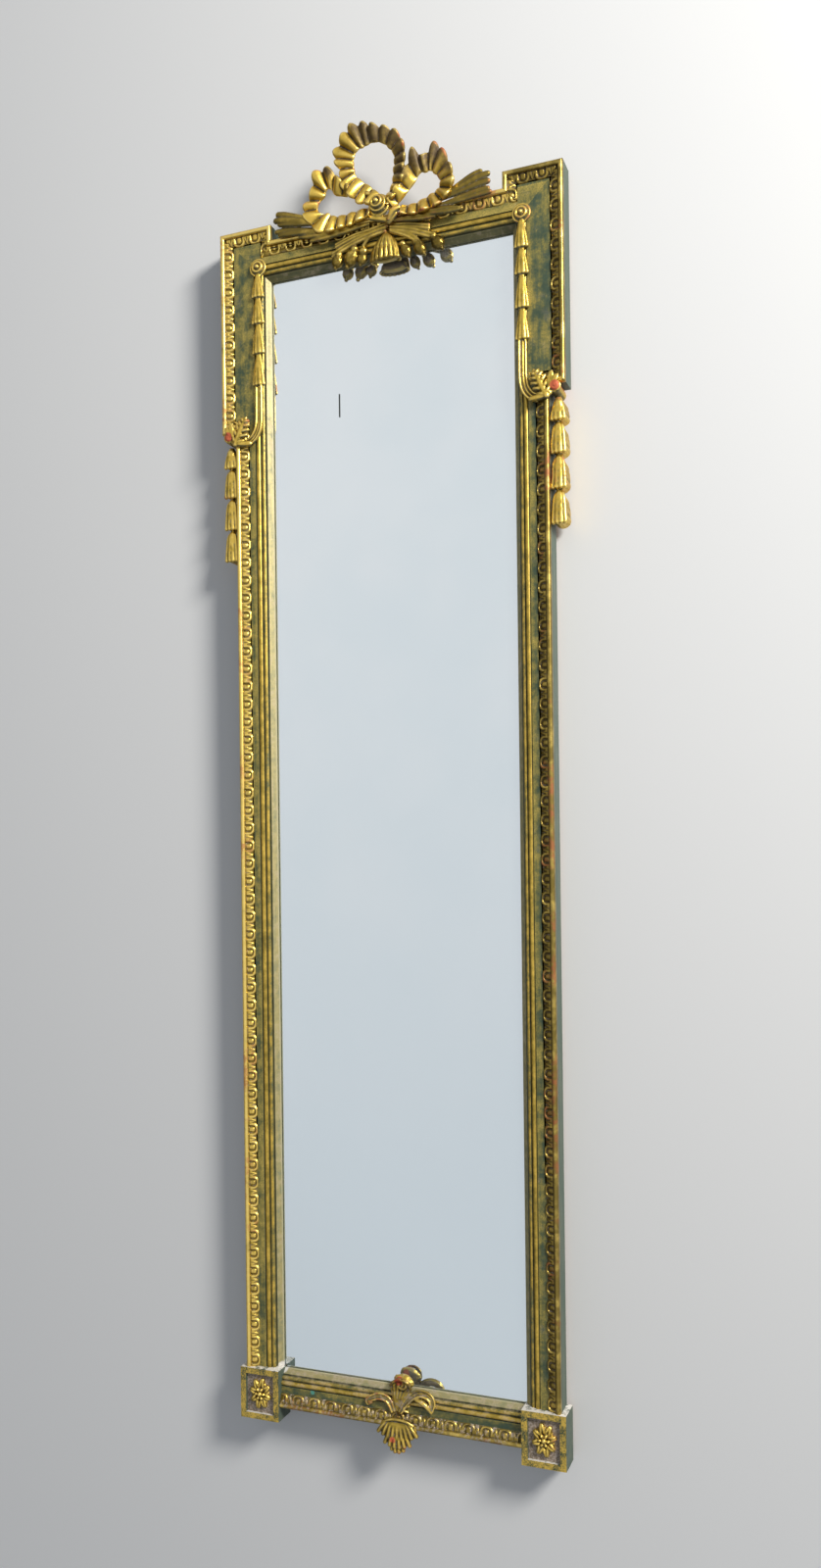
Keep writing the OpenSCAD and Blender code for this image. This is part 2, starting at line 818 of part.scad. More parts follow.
module left_backboard() {
  color("burlywood") plate(-glass_x, -board_joint / 2, silver_back - board_t, board_t);
}

module right_backboard() {
  color("burlywood") plate(board_joint / 2, glass_x, silver_back - board_t, board_t);
}

module backboard_brads() {
  color("gray") {
    stile_brad_row(0);
    left() stile_brad_row(0);
    rail_brad_row(rebate_top, 1, 0);
    rail_brad_row(rebate_foot, -1, 0);
  }
}

// ---- hangers ----

knuckle_r = wire_r + hinge_fit + plate_t;

module hanger_plate() {
  difference() {
    translate([hanger_x, 0, -hanger_drop]) {
      translate([-plate_w / 2, 0, -plate_l]) cube([plate_w, plate_t, plate_l]);
      translate([-plate_w / 2, 0, -knuckle_r]) cube([plate_w, hinge_y, 2 * knuckle_r]);
      translate([-plate_w / 2, hinge_y, 0]) rotate([0, 90, 0]) cylinder(r = knuckle_r, h = plate_w);
    }
    translate([hanger_x - plate_w, hinge_y, -hanger_drop]) rotate([0, 90, 0])
      cylinder(r = wire_r + hinge_fit, h = 2 * plate_w);
    screw_row(glue);
  }
}

module hanger_ring() {
  translate([hanger_x, hinge_y, -hanger_drop]) {
    translate([-ring_r, 0, 0]) rotate([0, 90, 0]) cylinder(r = wire_r, h = 2 * ring_r);
    for (s = [-1, 1]) translate([s * ring_r, 0, 0]) sphere(r = wire_r * 1.25);
    rotate([90, 0, 0]) rotate([0, 0, 180]) rotate_extrude(angle = 180) translate([ring_r, 0]) circle(r = wire_r);
  }
}

module left_hanger_plate() {
  color("slategray") left() hanger_plate();
}

module right_hanger_plate() {
  color("slategray") hanger_plate();
}

module left_hanger_ring() {
  color("slategray") left() hanger_ring();
}

module right_hanger_ring() {
  color("slategray") hanger_ring();
}

module hanger_screw_pair() {
  screw_row(0);
  for (d = screw_drops) translate([hanger_x, plate_t, -hanger_drop - d]) rotate([-90, 0, 0])
    cylinder(r1 = head_r, r2 = head_r * 0.6, h = 1.5);
}

module hanger_screws() {
  color("slategray") {
    hanger_screw_pair();
    left() hanger_screw_pair();
  }
}

left_stile();
right_stile();
top_rail();
bottom_rail();
left_ear();
right_ear();
left_corner_block();
right_corner_block();
corner_dowels();
mitre_keys();
left_leaf_moulding();
right_leaf_moulding();
top_leaf_moulding();
bottom_leaf_moulding();
left_sight_moulding();
right_sight_moulding();
top_sight_moulding();
bottom_sight_moulding();
left_rosette();
right_rosette();
crest_bow();
crest_knot();
left_leaf_spray();
right_leaf_spray();
left_bud_spray();
right_bud_spray();
crest_bell();
left_inner_drop();
right_inner_drop();
left_ear_scroll();
right_ear_scroll();
left_outer_drop();
right_outer_drop();
base_acanthus();
base_palmette();
mirror_glass();
silvering();
setting_blocks();
left_backboard();
right_backboard();
backboard_brads();
left_hanger_plate();
right_hanger_plate();
left_hanger_ring();
right_hanger_ring();
hanger_screws();
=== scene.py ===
import bpy
import bmesh
import math
import numpy as np
from mathutils import Matrix, Vector


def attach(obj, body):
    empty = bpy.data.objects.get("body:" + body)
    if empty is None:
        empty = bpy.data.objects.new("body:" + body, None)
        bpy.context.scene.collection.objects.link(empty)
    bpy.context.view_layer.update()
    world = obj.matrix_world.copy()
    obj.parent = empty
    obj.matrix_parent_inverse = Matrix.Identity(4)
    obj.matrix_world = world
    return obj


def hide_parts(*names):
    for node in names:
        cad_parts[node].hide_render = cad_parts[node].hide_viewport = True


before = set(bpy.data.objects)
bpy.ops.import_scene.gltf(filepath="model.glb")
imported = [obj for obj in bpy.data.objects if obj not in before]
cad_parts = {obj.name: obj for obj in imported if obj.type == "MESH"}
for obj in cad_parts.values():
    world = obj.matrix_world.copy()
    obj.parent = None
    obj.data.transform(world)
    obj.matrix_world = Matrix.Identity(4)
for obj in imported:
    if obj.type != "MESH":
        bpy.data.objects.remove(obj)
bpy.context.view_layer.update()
MM = 0.001

# ---- The view: the mirror lies on its back and is seen from the right of its middle line,
# level with its middle. Focal length and centre are in pixels of an 838 by 1600 picture.
def put_in_scene(name, data):
    made = bpy.data.objects.new(name, data)
    bpy.context.scene.collection.objects.link(made)
    return made


def turned(degrees, axis):
    return Matrix.Rotation(math.radians(degrees), 4, axis)


PHOTO_H = 1600
FOCAL_PX = 1231.1
CENTRE_PX = 885.6
EYE = Vector((0.4811, -1.2027, -0.6697))
YAW, PITCH, ROLL = 21.236, 0.03, -0.686
eye_data = bpy.data.cameras.new("eye")
eye_data.sensor_fit = "VERTICAL"
eye_data.sensor_height = 36
eye_data.lens = FOCAL_PX / PHOTO_H * 36
eye_data.shift_y = CENTRE_PX / PHOTO_H - 0.5
eye_data.clip_end = 50
eye = put_in_scene("eye", eye_data)
eye.matrix_world = (Matrix.Translation(EYE) @ turned(YAW, "Z") @ turned(90 + PITCH, "X")
                    @ turned(ROLL, "Z"))
bpy.context.scene.camera = eye
bpy.context.scene.view_settings.view_transform = "Standard"


# ---- Stiles, rails and ears: painted dark green over gesso, with gold rubbed thinly over the
# front. The outer sides show the plain green, and the back is bare softwood.
class Value:
    """One changing number of a finish, such as a pattern's share, that can be worked with as a number."""
    def __init__(self, finish, socket):
        self.finish, self.socket = finish, socket

    def maths(self, operation, *others, swap=False):
        inputs = [others[0], self] if swap else [self, *others]
        return self.finish.node("Math", {"operation": operation}, dict(enumerate(inputs)))

    def __add__(self, other): return self.maths("ADD", other)
    def __sub__(self, other): return self.maths("SUBTRACT", other)
    def __mul__(self, other): return self.maths("MULTIPLY", other)
    def __radd__(self, other): return self.maths("ADD", other)
    def __rsub__(self, other): return self.maths("SUBTRACT", other, swap=True)
    def __rmul__(self, other): return self.maths("MULTIPLY", other)
    def abs(self): return self.maths("ABSOLUTE")
    def least(self, other): return self.maths("MINIMUM", other)
    def most(self, other): return self.maths("MAXIMUM", other)

    def ramp(self, low, high):
        """0 below low, 1 above high, and a smooth rise between them."""
        return self.finish.node("MapRange", {"interpolation_type": "SMOOTHSTEP", "clamp": True},
                                {"Value": self, "From Min": low, "From Max": high})


class Finish:
    """Paint, gold leaf, wood, glass or iron, mixed from patterns on the surface."""
    def __init__(self, name, owner=None):
        self.material = owner or bpy.data.materials.new(name)
        self.material.use_nodes = True
        self.tree = self.material.node_tree
        self.shader = self.tree.nodes.get("Principled BSDF")

    def put(self, socket, value):
        if isinstance(value, Value):
            self.tree.links.new(value.socket, socket)
        elif isinstance(value, (tuple, list)) and len(value) == 3 and socket.type == "RGBA":
            socket.default_value = (*value, 1)
        else:
            socket.default_value = value

    def node(self, kind, settings=None, sockets=None, out=0):
        made = self.tree.nodes.new("ShaderNode" + kind)
        for name, value in (settings or {}).items():
            setattr(made, name, value)
        for name, value in (sockets or {}).items():
            self.put(made.inputs[name], value)
        return Value(self, made.outputs[out])

    def place(self):
        return self.node("TexCoord", out="Object")

    def split(self, vector):
        parts = self.node("SeparateXYZ", {}, {0: vector})
        return [Value(self, s) for s in parts.socket.node.outputs]

    def xyz(self):
        """A point's place in mm, as three values."""
        in_mm = self.node("VectorMath", {"operation": "SCALE"}, {0: self.place(), "Scale": 1000})
        return self.split(in_mm)

    def facing(self):
        """The surface's own direction, as three values."""
        return self.split(self.node("NewGeometry", out="Normal"))

    def stretched(self, x, y, z):
        return self.node("Mapping", {}, {"Vector": self.place(), "Scale": (x, y, z)})

    def noise(self, scale, detail=4, rough=0.6, at=None):
        return self.node("TexNoise", {}, {"Vector": at or self.place(), "Scale": scale,
                                          "Detail": detail, "Roughness": rough})

    def mix(self, share, a, b):
        return self.node("Mix", {"data_type": "RGBA"}, {0: share, 6: a, 7: b}, out=2)

    def attribute(self, name):
        return self.node("Attribute", {"attribute_name": name}, out="Fac")

    def bump(self, height, far, strength=1.0):
        return self.node("Bump", {}, {"Strength": strength, "Distance": far, "Height": height})

    def set(self, **sockets):
        for name, value in sockets.items():
            self.put(self.shader.inputs[name.replace("_", " ")], value)
        return self.material


DUST = (0.44, 0.36, 0.30)
OLIVE = (0.17, 0.155, 0.035)
DARK_GREEN = (0.030, 0.055, 0.030)
LEAF_GREEN = (0.055, 0.085, 0.05)
VERDIGRIS = (0.10, 0.34, 0.26)
THIN_GOLD = (0.58, 0.43, 0.10)
SIDE_GREEN = (0.055, 0.085, 0.062)
PALE_SIDE_GREEN = (0.10, 0.12, 0.085)
COOL_SIDE_GREEN = (0.05, 0.085, 0.065)
BARE_WOOD, DARK_WOOD = (0.34, 0.23, 0.13), (0.20, 0.13, 0.07)
# Half the width over the stiles, and the outer edges of the rails' faces, in mm
SIDE, RAIL_TOP, RAIL_FOOT = 178, 19.5, -1258.5


def dress(material, *nodes):
    """Solids of the frame that keep their shape and get their finish."""
    for node in nodes:
        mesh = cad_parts[node].data
        mesh.materials.clear()
        mesh.materials.append(material)


def wood_colour(finish, x, z):
    """x and z stretch the grain: the lower number is along the board."""
    grain = finish.noise(1, 5, 0.65, finish.stretched(x, 60, z))
    return finish.mix(grain.ramp(0.3, 0.7), DARK_WOOD, BARE_WOOD)


def across_face(x, z):
    """Distance of a point inwards from the nearest outer edge of the stiles and rails."""
    return (SIDE - x.abs()).least(RAIL_TOP - z).least(z - RAIL_FOOT)


def flaw(x, z, at, blots, rough, inner, outer):
    """1 within a ragged chip round the place at, and 0 outside it: inner and outer are the squares
    of the radii between which it ends, and rough is how ragged it is."""
    dx, dz = x - at[0], z - at[1]
    return 1 - (dx * dx + dz * dz + blots * rough).ramp(inner, outer)


def painted(name, x, z, rich=0.0, painted_shade=0.0):
    """x and z stretch the brush marks: the lower number is along the piece. rich adds gold, and the
    last argument darkens the piece's right end to dark green, as painted shade."""
    finish = Finish(name)
    px, _, pz = finish.xyz()
    _, out, _ = finish.facing()
    w = across_face(px, pz)
    front = (0 - out).ramp(0.5, 0.8)
    back = out.ramp(0.5, 0.8)
    brushed = finish.noise(1, 5, 0.7, finish.stretched(x, 120, z))
    patches = finish.noise(48, 5, 0.7)
    blots = finish.noise(170, 5, 0.75)
    specks = finish.noise(1100, 2, 0.6)
    # the gold is thinnest beside the leaves and thickest beside the sight moulding
    thick = brushed * 0.35 + patches * 0.6 + blots * 0.35 + rich
    thick = thick + w.ramp(15, 24) * 0.10 - w.ramp(22, 30) * 0.04
    green = finish.mix(patches.ramp(0.35, 0.65), DARK_GREEN, LEAF_GREEN)
    olive = finish.mix(thick.ramp(0.50, 0.74), green, OLIVE)
    gold = (thick.ramp(0.58, 0.84) * specks.ramp(0.34, 0.60)) * front
    face = finish.mix(gold, olive, THIN_GOLD)
    side = finish.mix(brushed.ramp(0.35, 0.7), SIDE_GREEN, PALE_SIDE_GREEN)
    side = finish.mix(blots.ramp(0.55, 0.75) * 0.5, side, COOL_SIDE_GREEN)
    dusty = (finish.noise(60, 4).ramp(0.55, 0.8) * specks.ramp(0.4, 0.6)) * 0.35
    face = finish.mix(dusty, face, DUST)
    # painted shade: the piece's right end darkens to dark green
    face = finish.mix(painted_shade * px.ramp(30, 70) * (1 - blots.ramp(0.55, 0.8)), face, DARK_GREEN)
    # an old green chip on the bottom rail
    chip = flaw(px, pz, (-99.8, -1238.1), blots, 8, 7, 12)
    face = finish.mix(chip, face, VERDIGRIS)
    gold = gold * (1 - chip)
    colour = finish.mix(back, finish.mix(front, side, face), wood_colour(finish, x, z))
    return finish.set(Base_Color=colour, Metallic=gold * 0.6, Roughness=0.60 - gold * 0.2,
                      Normal=finish.bump(blots * 0.7 + specks * 0.5, 0.0003, 0.5))


dress(painted("green_paint_left", 220, 14), "left_stile", "left_ear")
dress(painted("green_paint_right", 220, 14, -0.04), "right_stile", "right_ear")
dress(painted("green_paint_top", 14, 220, 0.05), "top_rail")
dress(painted("green_paint_foot", 14, 220, -0.05, painted_shade=0.4), "bottom_rail")


# ---- Sight mouldings: a gold reed, a dark groove, a green-gold reed and a dusty hollow that
# ends in a thin worn lip against the glass. Turned from one length and mitred.
UMBER = (0.035, 0.024, 0.006)
GOLD, OLD_GOLD = (0.64, 0.43, 0.075), (0.30, 0.21, 0.03)
REED_GREEN, PALE_REED_GREEN = (0.05, 0.085, 0.05), (0.12, 0.15, 0.07)
UNDER_OLIVE = (0.085, 0.095, 0.05)
WORN_LIP = (0.50, 0.46, 0.27)
DARK_DUST, PALE_DUST = (0.30, 0.26, 0.18), (0.46, 0.38, 0.30)
GESSO = (0.72, 0.68, 0.62)


def sight_paint(name, x, z, dust=0.0):
    """x and z stretch the streaks, and dust is how dusty the hollow is."""
    finish = Finish(name)
    px, _, pz = finish.xyz()
    w = across_face(px, pz)
    streaks = finish.noise(1, 5, 0.7, finish.stretched(x, 300, z))
    specks = finish.noise(800, 2, 0.6)
    blots = finish.noise(120, 4, 0.65)
    first_reed = w.ramp(22.3, 23.4) * (1 - w.ramp(27.3, 28.0))
    second_reed = w.ramp(28.6, 29.4) * (1 - w.ramp(31.9, 32.7))
    hollow = w.ramp(33.4, 34.6)
    lip = w.ramp(38.2, 38.6)
    wear = streaks * 0.45 + specks * 0.4 + blots * 0.3
    groove_and_shadow = finish.mix(blots, UMBER, DARK_GREEN)
    green = finish.mix(blots.ramp(0.3, 0.7), REED_GREEN, PALE_REED_GREEN)
    gold = finish.mix((blots + streaks * 0.4).ramp(0.5, 0.95), OLD_GOLD, GOLD)
    # painted shadow: the first reed's outer flank, at the step from the field, gets no gold and keeps the
    # dark groove colour
    leaf = first_reed * w.ramp(22.6, 23.8) * wear.ramp(0.30, 0.56)
    leaf = leaf.most(second_reed * wear.ramp(0.42, 0.62)).most(hollow * wear.ramp(0.42, 0.60) * 0.6)
    colour = finish.mix(second_reed.most(hollow), groove_and_shadow, green)
    colour = finish.mix(leaf, colour, gold)
    _, _, up = finish.facing()
    # the hollow's undersides turn olive and lose their gold and paleness: partly green paint, partly
    # painted shade
    under = (0 - up).ramp(0.25, 0.6) * hollow
    colour = finish.mix(under * 0.75, colour, UNDER_OLIVE)
    leaf = leaf * (1 - under * 0.9)
    pale = hollow.most(lip) * (0.35 + lip * 0.4) * (1 - under)
    colour = finish.mix(pale, colour, WORN_LIP)
    leaf = leaf * (1 - pale * 0.7)
    dusty = (hollow.most(dust) * blots.ramp(0.50 - dust * 0.12, 0.66)) * (0.4 + dust * 0.4)
    colour = finish.mix(dusty, colour, finish.mix(specks.ramp(0.4, 0.6), DARK_DUST, PALE_DUST))
    # the gesso shows white where the moulding is chipped at the left corner block
    chip = flaw(px, pz, (-139, -1218.5), blots, 90, 60, 90)
    colour = finish.mix(chip, colour, GESSO)
    leaf = leaf * (1 - chip) * (1 - dusty)
    return finish.set(Base_Color=colour, Metallic=leaf * 0.7, Roughness=0.58 - leaf * 0.22,
                      Normal=finish.bump(streaks + specks * 0.6, 0.00025, 0.5))


dress(sight_paint("sight_gold_upright", 260, 16), "left_sight_moulding", "right_sight_moulding")
dress(sight_paint("sight_gold_level", 16, 260), "top_sight_moulding")
dress(sight_paint("sight_gold_foot", 16, 260, dust=0.7), "bottom_sight_moulding")


# ---- Bead and leaf mouldings: a plain round bead on the outer edge and, inside it, a slope cut
# with heart-shaped leaves. Carved in lengths, mitred at the corners and glued to the boards,
# then gilded: pale gold on the heights as a painted highlight, rubbed to the red bole on some tips,
# and dark with grime and painted shade and dusty in the hollows.
HIGHLIGHT_GOLD = (0.88, 0.66, 0.20)
TARNISH = (0.13, 0.092, 0.018)
BROWN, PALE_BROWN = (0.075, 0.042, 0.014), (0.16, 0.105, 0.026)
BOLE, BARE_BOLE = (0.38, 0.09, 0.03), (0.60, 0.13, 0.05)
UNDER_GREEN = (0.075, 0.085, 0.05)


def gilded(name, dark, dust=0.3, wear=0.6, contrast=1.0, age=0.3, under=0.0, spot=None, shade_and_tarnish=()):
    """dark is the colour of the hollows, with their grime and painted shade, and contrast how strong it is,
    age how tarnished the gold is, and under how far the undersides turn green, partly the green paint
    left bare and partly painted shade. spot is a chip down to the bole, and browned are places round
    which the gold is painted brown, as painted shade and tarnish: x, z and radius in mm. A spot beside
    the stiles is on both."""
    finish = Finish(name)
    relief = finish.attribute("relief")
    depth = finish.attribute("depth")
    mottle = finish.noise(150, 4, 0.65)
    fine = finish.noise(900, 3, 0.6)
    broad = finish.noise(26, 2, 0.5)
    # the deeper places lean to the darker old gold, as painted shade
    gold = finish.mix((mottle + depth * 0.3).ramp(0.34, 0.66), OLD_GOLD, GOLD)
    # painted highlight: the heights turn pale gold
    gold = finish.mix((relief.least(0.75) * 0.7 + mottle * 0.6).ramp(0.45, 1.1), gold, HIGHLIGHT_GOLD)
    tarnish = (finish.noise(40, 4, 0.6) * 0.7 + mottle * 0.5).ramp(0.75 - age * 0.5, 0.95 - age * 0.35)
    gold = finish.mix(tarnish * (0.45 + age * 0.5), gold, TARNISH)
    # grime and painted shade: the hollows and deep places darken to the dark colour
    hollow = ((0 - relief) + mottle * 0.3 - 0.15).ramp(0.0, 0.8)
    deep = (0 - depth).ramp(0.15, 1.0)
    dark_share = (hollow * (0.8 * contrast)).most(deep * (0.85 * contrast))
    colour = finish.mix(dark_share, gold, dark)
    x, _, z = finish.xyz()
    brown = 0
    # painted shade, with some tarnish: brown patches round the listed places
    for at_x, at_z, r in shade_and_tarnish:
        brown = flaw(x, z, (at_x, at_z), mottle, r * 14, (r * 0.75) ** 2, (r * 1.3) ** 2).most(brown)
    if shade_and_tarnish:
        brown = brown * (1 - (relief * 0.8 + fine * 0.4).ramp(0.5, 1.0) * 0.45)
        colour = finish.mix(brown * 0.95, colour, finish.mix(mottle.ramp(0.35, 0.65), BROWN, PALE_BROWN))
    rubbed = (relief.ramp(0.25, 0.8) * broad.ramp(0.54, 0.62) * mottle.ramp(0.42, 0.56)) * wear
    colour = finish.mix(rubbed, colour, BOLE)
    dusty = (deep.most(hollow).most(dust - 0.5) * finish.noise(260, 3).ramp(0.5, 0.62)) * dust
    colour = finish.mix(dusty, colour, DUST)
    _, out, up = finish.facing()
    # painted shade on the undersides: they turn green, partly the green paint left bare of gold
    bare_and_shade = ((0 - up).ramp(0.30, 0.75) * mottle.ramp(0.30, 0.50)) * under
    colour = finish.mix(bare_and_shade, colour, UNDER_GREEN)
    # the flat back is bare wood
    back = out.ramp(0.75, 0.92)
    colour = finish.mix(back, colour, wood_colour(finish, 60, 60))
    leaf = 1 - (dark_share * 0.9).most(rubbed).most(dusty).most(bare_and_shade).most(brown * 0.8).most(back)
    if spot:
        at_x, at_z, r = spot
        chip = flaw(x.abs() if at_x > 100 else x, z, (at_x, at_z), mottle, 6, r ** 2, r ** 2 + 5)
        colour = finish.mix(chip, colour, BARE_BOLE)
        leaf = leaf * (1 - chip)
    return finish.set(Base_Color=colour, Metallic=leaf * 0.9, Roughness=0.62 - leaf * 0.30,
                      Normal=finish.bump(mottle * 0.6 + fine * 0.4, 0.00025, 0.5))


def smoothed(points, edges, rounds):
    """Points drawn towards the mean of their neighbours, so many times."""
    count = np.bincount(edges.ravel(), minlength=len(points)).clip(1)[:, None]
    for _ in range(rounds):
        total = np.zeros_like(points)
        for a, b in ((0, 1), (1, 0)):
            for c in range(3):
                total[:, c] += np.bincount(edges[:, a], points[edges[:, b], c], minlength=len(points))
        points = points + (total / count - points) * 0.6
    return points


def note_relief(mesh, near, far):
    """Writes how far each point stands out from the surface round it, close by and more widely.
    near and far are the heights, in mm, that count as 1."""
    n = len(mesh.vertices)
    points, normals = np.empty(n * 3), np.empty(n * 3)
    mesh.vertices.foreach_get("co", points)
    mesh.vertices.foreach_get("normal", normals)
    points, normals = points.reshape(-1, 3), normals.reshape(-1, 3)
    edges = np.empty(len(mesh.edges) * 2, dtype=np.int64)
    mesh.edges.foreach_get("vertices", edges)
    edges = edges.reshape(-1, 2)
    for name, rounds, full in (("relief", 8, near), ("depth", 60, far)):
        stands = ((points - smoothed(points, edges, rounds)) * normals).sum(1) / (full * MM)
        mesh.attributes.new(name, "FLOAT", "POINT").data.foreach_set("value", stands.clip(-1.5, 1.5))


def into_mesh(name, work):
    mesh = bpy.data.meshes.new(name)
    work.to_mesh(mesh)
    work.free()
    return mesh


def finish_piece(name, mesh, material, node):
    mesh.materials.clear()
    mesh.materials.append(material)
    piece = put_in_scene(name, mesh)
    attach(piece, "frame")
    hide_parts(node)


# Widths across the moulding, and heights above the back, in mm
BEAD_W, SLOPE_W, BEAD_TOP, BOARD_H = 5.5, 14.8, 27.0, 20.8
LEAF_PITCH, LEAF_STEP = 19.6, 0.7
EAR_OUT, EAR_W, EAR_H = 17, 63, 222
EAR_FOOT, EAR_TOP = -185.5, 36.5
BLOCK_TOP, BLOCK_INNER = -1218.0, 137.5


def step_up(value, low, high):
    share = min(1, max(0, (value - low) / (high - low)))
    return share * share * (3 - 2 * share)


def leaf_height(s, w):
    """Height of the carved slope above the back, s along the moulding and w in from its edge."""
    from_mid = ((s / LEAF_PITCH) % 1 - 0.5) * LEAF_PITCH
    in_mm = w - BEAD_W
    gap = LEAF_PITCH / 2 - abs(from_mid)
    slope = BEAD_TOP - 2.3 - in_mm * 0.30
    if in_mm > 8.4:
        slope -= (in_mm - 8.4) * 1.6
    # each leaf is a round-headed hollow open to the bead, with a plump tongue in it and a raised
    # rim round it, and a split dart stands between two leaves
    beyond = max(0, in_mm - 4.0)
    hollow = math.hypot(from_mid / 4.9, beyond / 4.1)
    tongue = math.hypot(from_mid / 2.9, beyond / 2.3)
    cut = 1.9 * (1 - step_up(hollow, 0.74, 1.02))
    cut -= 1.5 * math.sqrt(max(0, 1 - tongue ** 2))
    cut -= 0.30 * math.exp(-((hollow - 1.2) / 0.13) ** 2)
    dart = gap - 2.6 * (1 - (in_mm - 2.0) / 5.5)
    outside = step_up(hollow, 1.36, 1.55) * step_up(dart, -0.4, 0.9) * step_up(in_mm, 2.2, 4.0)
    cut = max(cut, 1.6 * outside)
    cut += 0.8 * math.exp(-(gap / 0.5) ** 2) * step_up(in_mm, 0.4, 1.2)
    cut += 0.6 * math.exp(-((in_mm - 0.3) / 0.4) ** 2)
    return slope - cut * min(1, (SLOPE_W - w) / 0.4 + 0.05)


def arc(a, r):
    """x and z of a point on a circle of the radius r, at an angle in degrees."""
    return r * math.cos(math.radians(a)), r * math.sin(math.radians(a))


# Stations round the section: down the back, up the outer side, over the bead and down the slope,
# whose height is the carving's
bead_r = BEAD_W / 2
section = [(0, BOARD_H), (0, 22.6), (0, BEAD_TOP - bead_r)]
section += [(bead_r - back, BEAD_TOP - bead_r + up)
            for back, up in (arc(a, bead_r) for a in range(20, 161, 20))]
section += [(BEAD_W - 0.25, BEAD_TOP - 2.6)]
slope_steps, slope_start = 20, BEAD_W + 0.1
section += [(slope_start + (SLOPE_W - slope_start) * i / slope_steps, None) for i in range(slope_steps + 1)]
section += [(SLOPE_W, BOARD_H)]


def leaf_length(work, x, z, turn, length, start, end, phase):
    """One mitred length. x and z are its start on the outer edge, turn its heading, and start and
    end are 1 for a salient mitre, -1 for a re-entrant one and 0 for a square end."""
    steps = round(length / LEAF_STEP)
    grid = bmesh.ops.create_grid(work, x_segments=steps, y_segments=len(section) - 1, size=0.5)
    heading = turned(turn, "Y")
    for v in grid["verts"]:
        i, j = round((v.co.x + 0.5) * steps), round((v.co.y + 0.5) * (len(section) - 1))
        w, h = section[j]
        first, last = start * w, length - end * w
        s = first + (last - first) * i / steps
        if h is None:
            h = leaf_height(s + phase, w)
        local = heading @ Vector((s, -h, w))
        v.co = Vector((x + local.x, local.y, z + local.z)) * MM


def leaf_moulding(side, lengths, material, mirrored=False):
    work = bmesh.new()
    for length in lengths:
        leaf_length(work, *length)
    bmesh.ops.remove_doubles(work, verts=work.verts, dist=0.02 * MM)
    bmesh.ops.holes_fill(work, edges=[e for e in work.edges if e.is_boundary], sides=0)
    if mirrored:
        bmesh.ops.transform(work, matrix=Matrix.Diagonal((-1, 1, 1, 1)), verts=work.verts)
    bmesh.ops.recalc_face_normals(work, faces=work.faces)
    mesh = into_mesh(side + "_leaf_carving", work)
    mesh.shade_smooth()
    note_relief(mesh, 0.3, 0.8)
    finish_piece(side + "_leaf_carving", mesh, material, side + "_leaf_moulding")


leaf_gold = gilded("leaf_moulding_gold", (0.085, 0.052, 0.014), contrast=0.6)
# painted shade: a darker copy of the leaf gold for the right moulding, whose leaves slope away from the
# light
shaded_leaf_gold = gilded("shaded_leaf_gold", (0.045, 0.027, 0.010), contrast=0.8, age=0.85)
dusty_leaf_gold = gilded("dusty_leaf_gold", (0.075, 0.072, 0.042), dust=1.0, wear=0.4, contrast=0.6,
                         age=0.8)
ear_side = SIDE + EAR_OUT
notch = ear_side - EAR_W
stile_leaves = [
    (SIDE, BLOCK_TOP, -90, EAR_FOOT - BLOCK_TOP, 0, -1, 3),
    (SIDE, EAR_FOOT, 0, EAR_OUT, -1, 1, 5),
    (ear_side, EAR_FOOT, -90, EAR_H, 1, 1, 8),
    (ear_side, EAR_TOP, 180, EAR_W, 1, 1, 7),
    (notch, EAR_TOP, 90, EAR_OUT, 1, -1, 5),
]
leaf_moulding("right", stile_leaves, shaded_leaf_gold)
leaf_moulding("left", stile_leaves, leaf_gold, mirrored=True)
leaf_moulding("top", [(notch, RAIL_TOP, 180, 2 * notch, -1, -1, 4)], leaf_gold)
leaf_moulding("bottom", [(-BLOCK_INNER, RAIL_FOOT, 0, 2 * BLOCK_INNER, 0, 0, 9)], dusty_leaf_gold)


# ---- Ribbon bow: three pleated loops that rise from the top rail and cross under a knot. As every
# ornament here it is one piece of limewood, carved in full rounds and flat at the back, gilded
# and glued on. Each loop is dished: its outer edge stands high, its inner edge low.
work = bmesh.new()
bmesh.ops.create_icosphere(work, subdivisions=2, radius=1)
ball = into_mesh("ball", work)


def lump(work, x, z, h, long, wide, deep, turn=0):
    """A rounded lump. h is the height of its middle, and turn the angle of its long axis from level."""
    one = ball.copy()
    one.transform(Matrix.Translation((x, -h, z)) @ turned(-turn, "Y")
                  @ Matrix.Diagonal((long / 2, deep / 2, wide / 2, 1)))
    work.from_mesh(one)
    bpy.data.meshes.remove(one)


def along(points, spacing):
    """Points spaced along a smooth curve through the given ones, each with all its numbers blended."""
    out = []
    last = len(points) - 1
    for i in range(last):
        a, b = np.array(points[i], float), np.array(points[i + 1], float)
        before = np.array(points[max(i - 1, 0)], float)
        after = np.array(points[min(i + 2, last)], float)
        steps = max(1, round(float(np.linalg.norm((b - a)[:2])) / spacing))
        for k in range(steps):
            t = k / steps
            out.append(0.5 * (2 * a + (b - before) * t + (2 * before - 5 * a + 4 * b - after) * t * t
                              + (3 * a - before - 3 * b + after) * t ** 3))
    out.append(np.array(points[last], float))
    return out


CARVED_STEP = 0.9


def rod(work, points, deep=1.0):
    """A round or flattened rod through points of x, z, height and radius."""
    for x, z, h, r in along(points, CARVED_STEP):
        lump(work, x, z, h, 2 * r, 2 * r, 2 * r * deep)


def cut_off(work, place, way):
    """Cuts away what lies beyond a plane and closes the cut."""
    cut = bmesh.ops.bisect_plane(work, geom=work.verts[:] + work.edges[:] + work.faces[:], dist=1e-6,
                                 plane_co=place, plane_no=way, clear_outer=True)
    rim = [e for e in cut["geom_cut"] if isinstance(e, bmesh.types.BMEdge)]
    if rim:
        bmesh.ops.triangle_fill(work, edges=rim, use_beauty=True, use_dissolve=False)


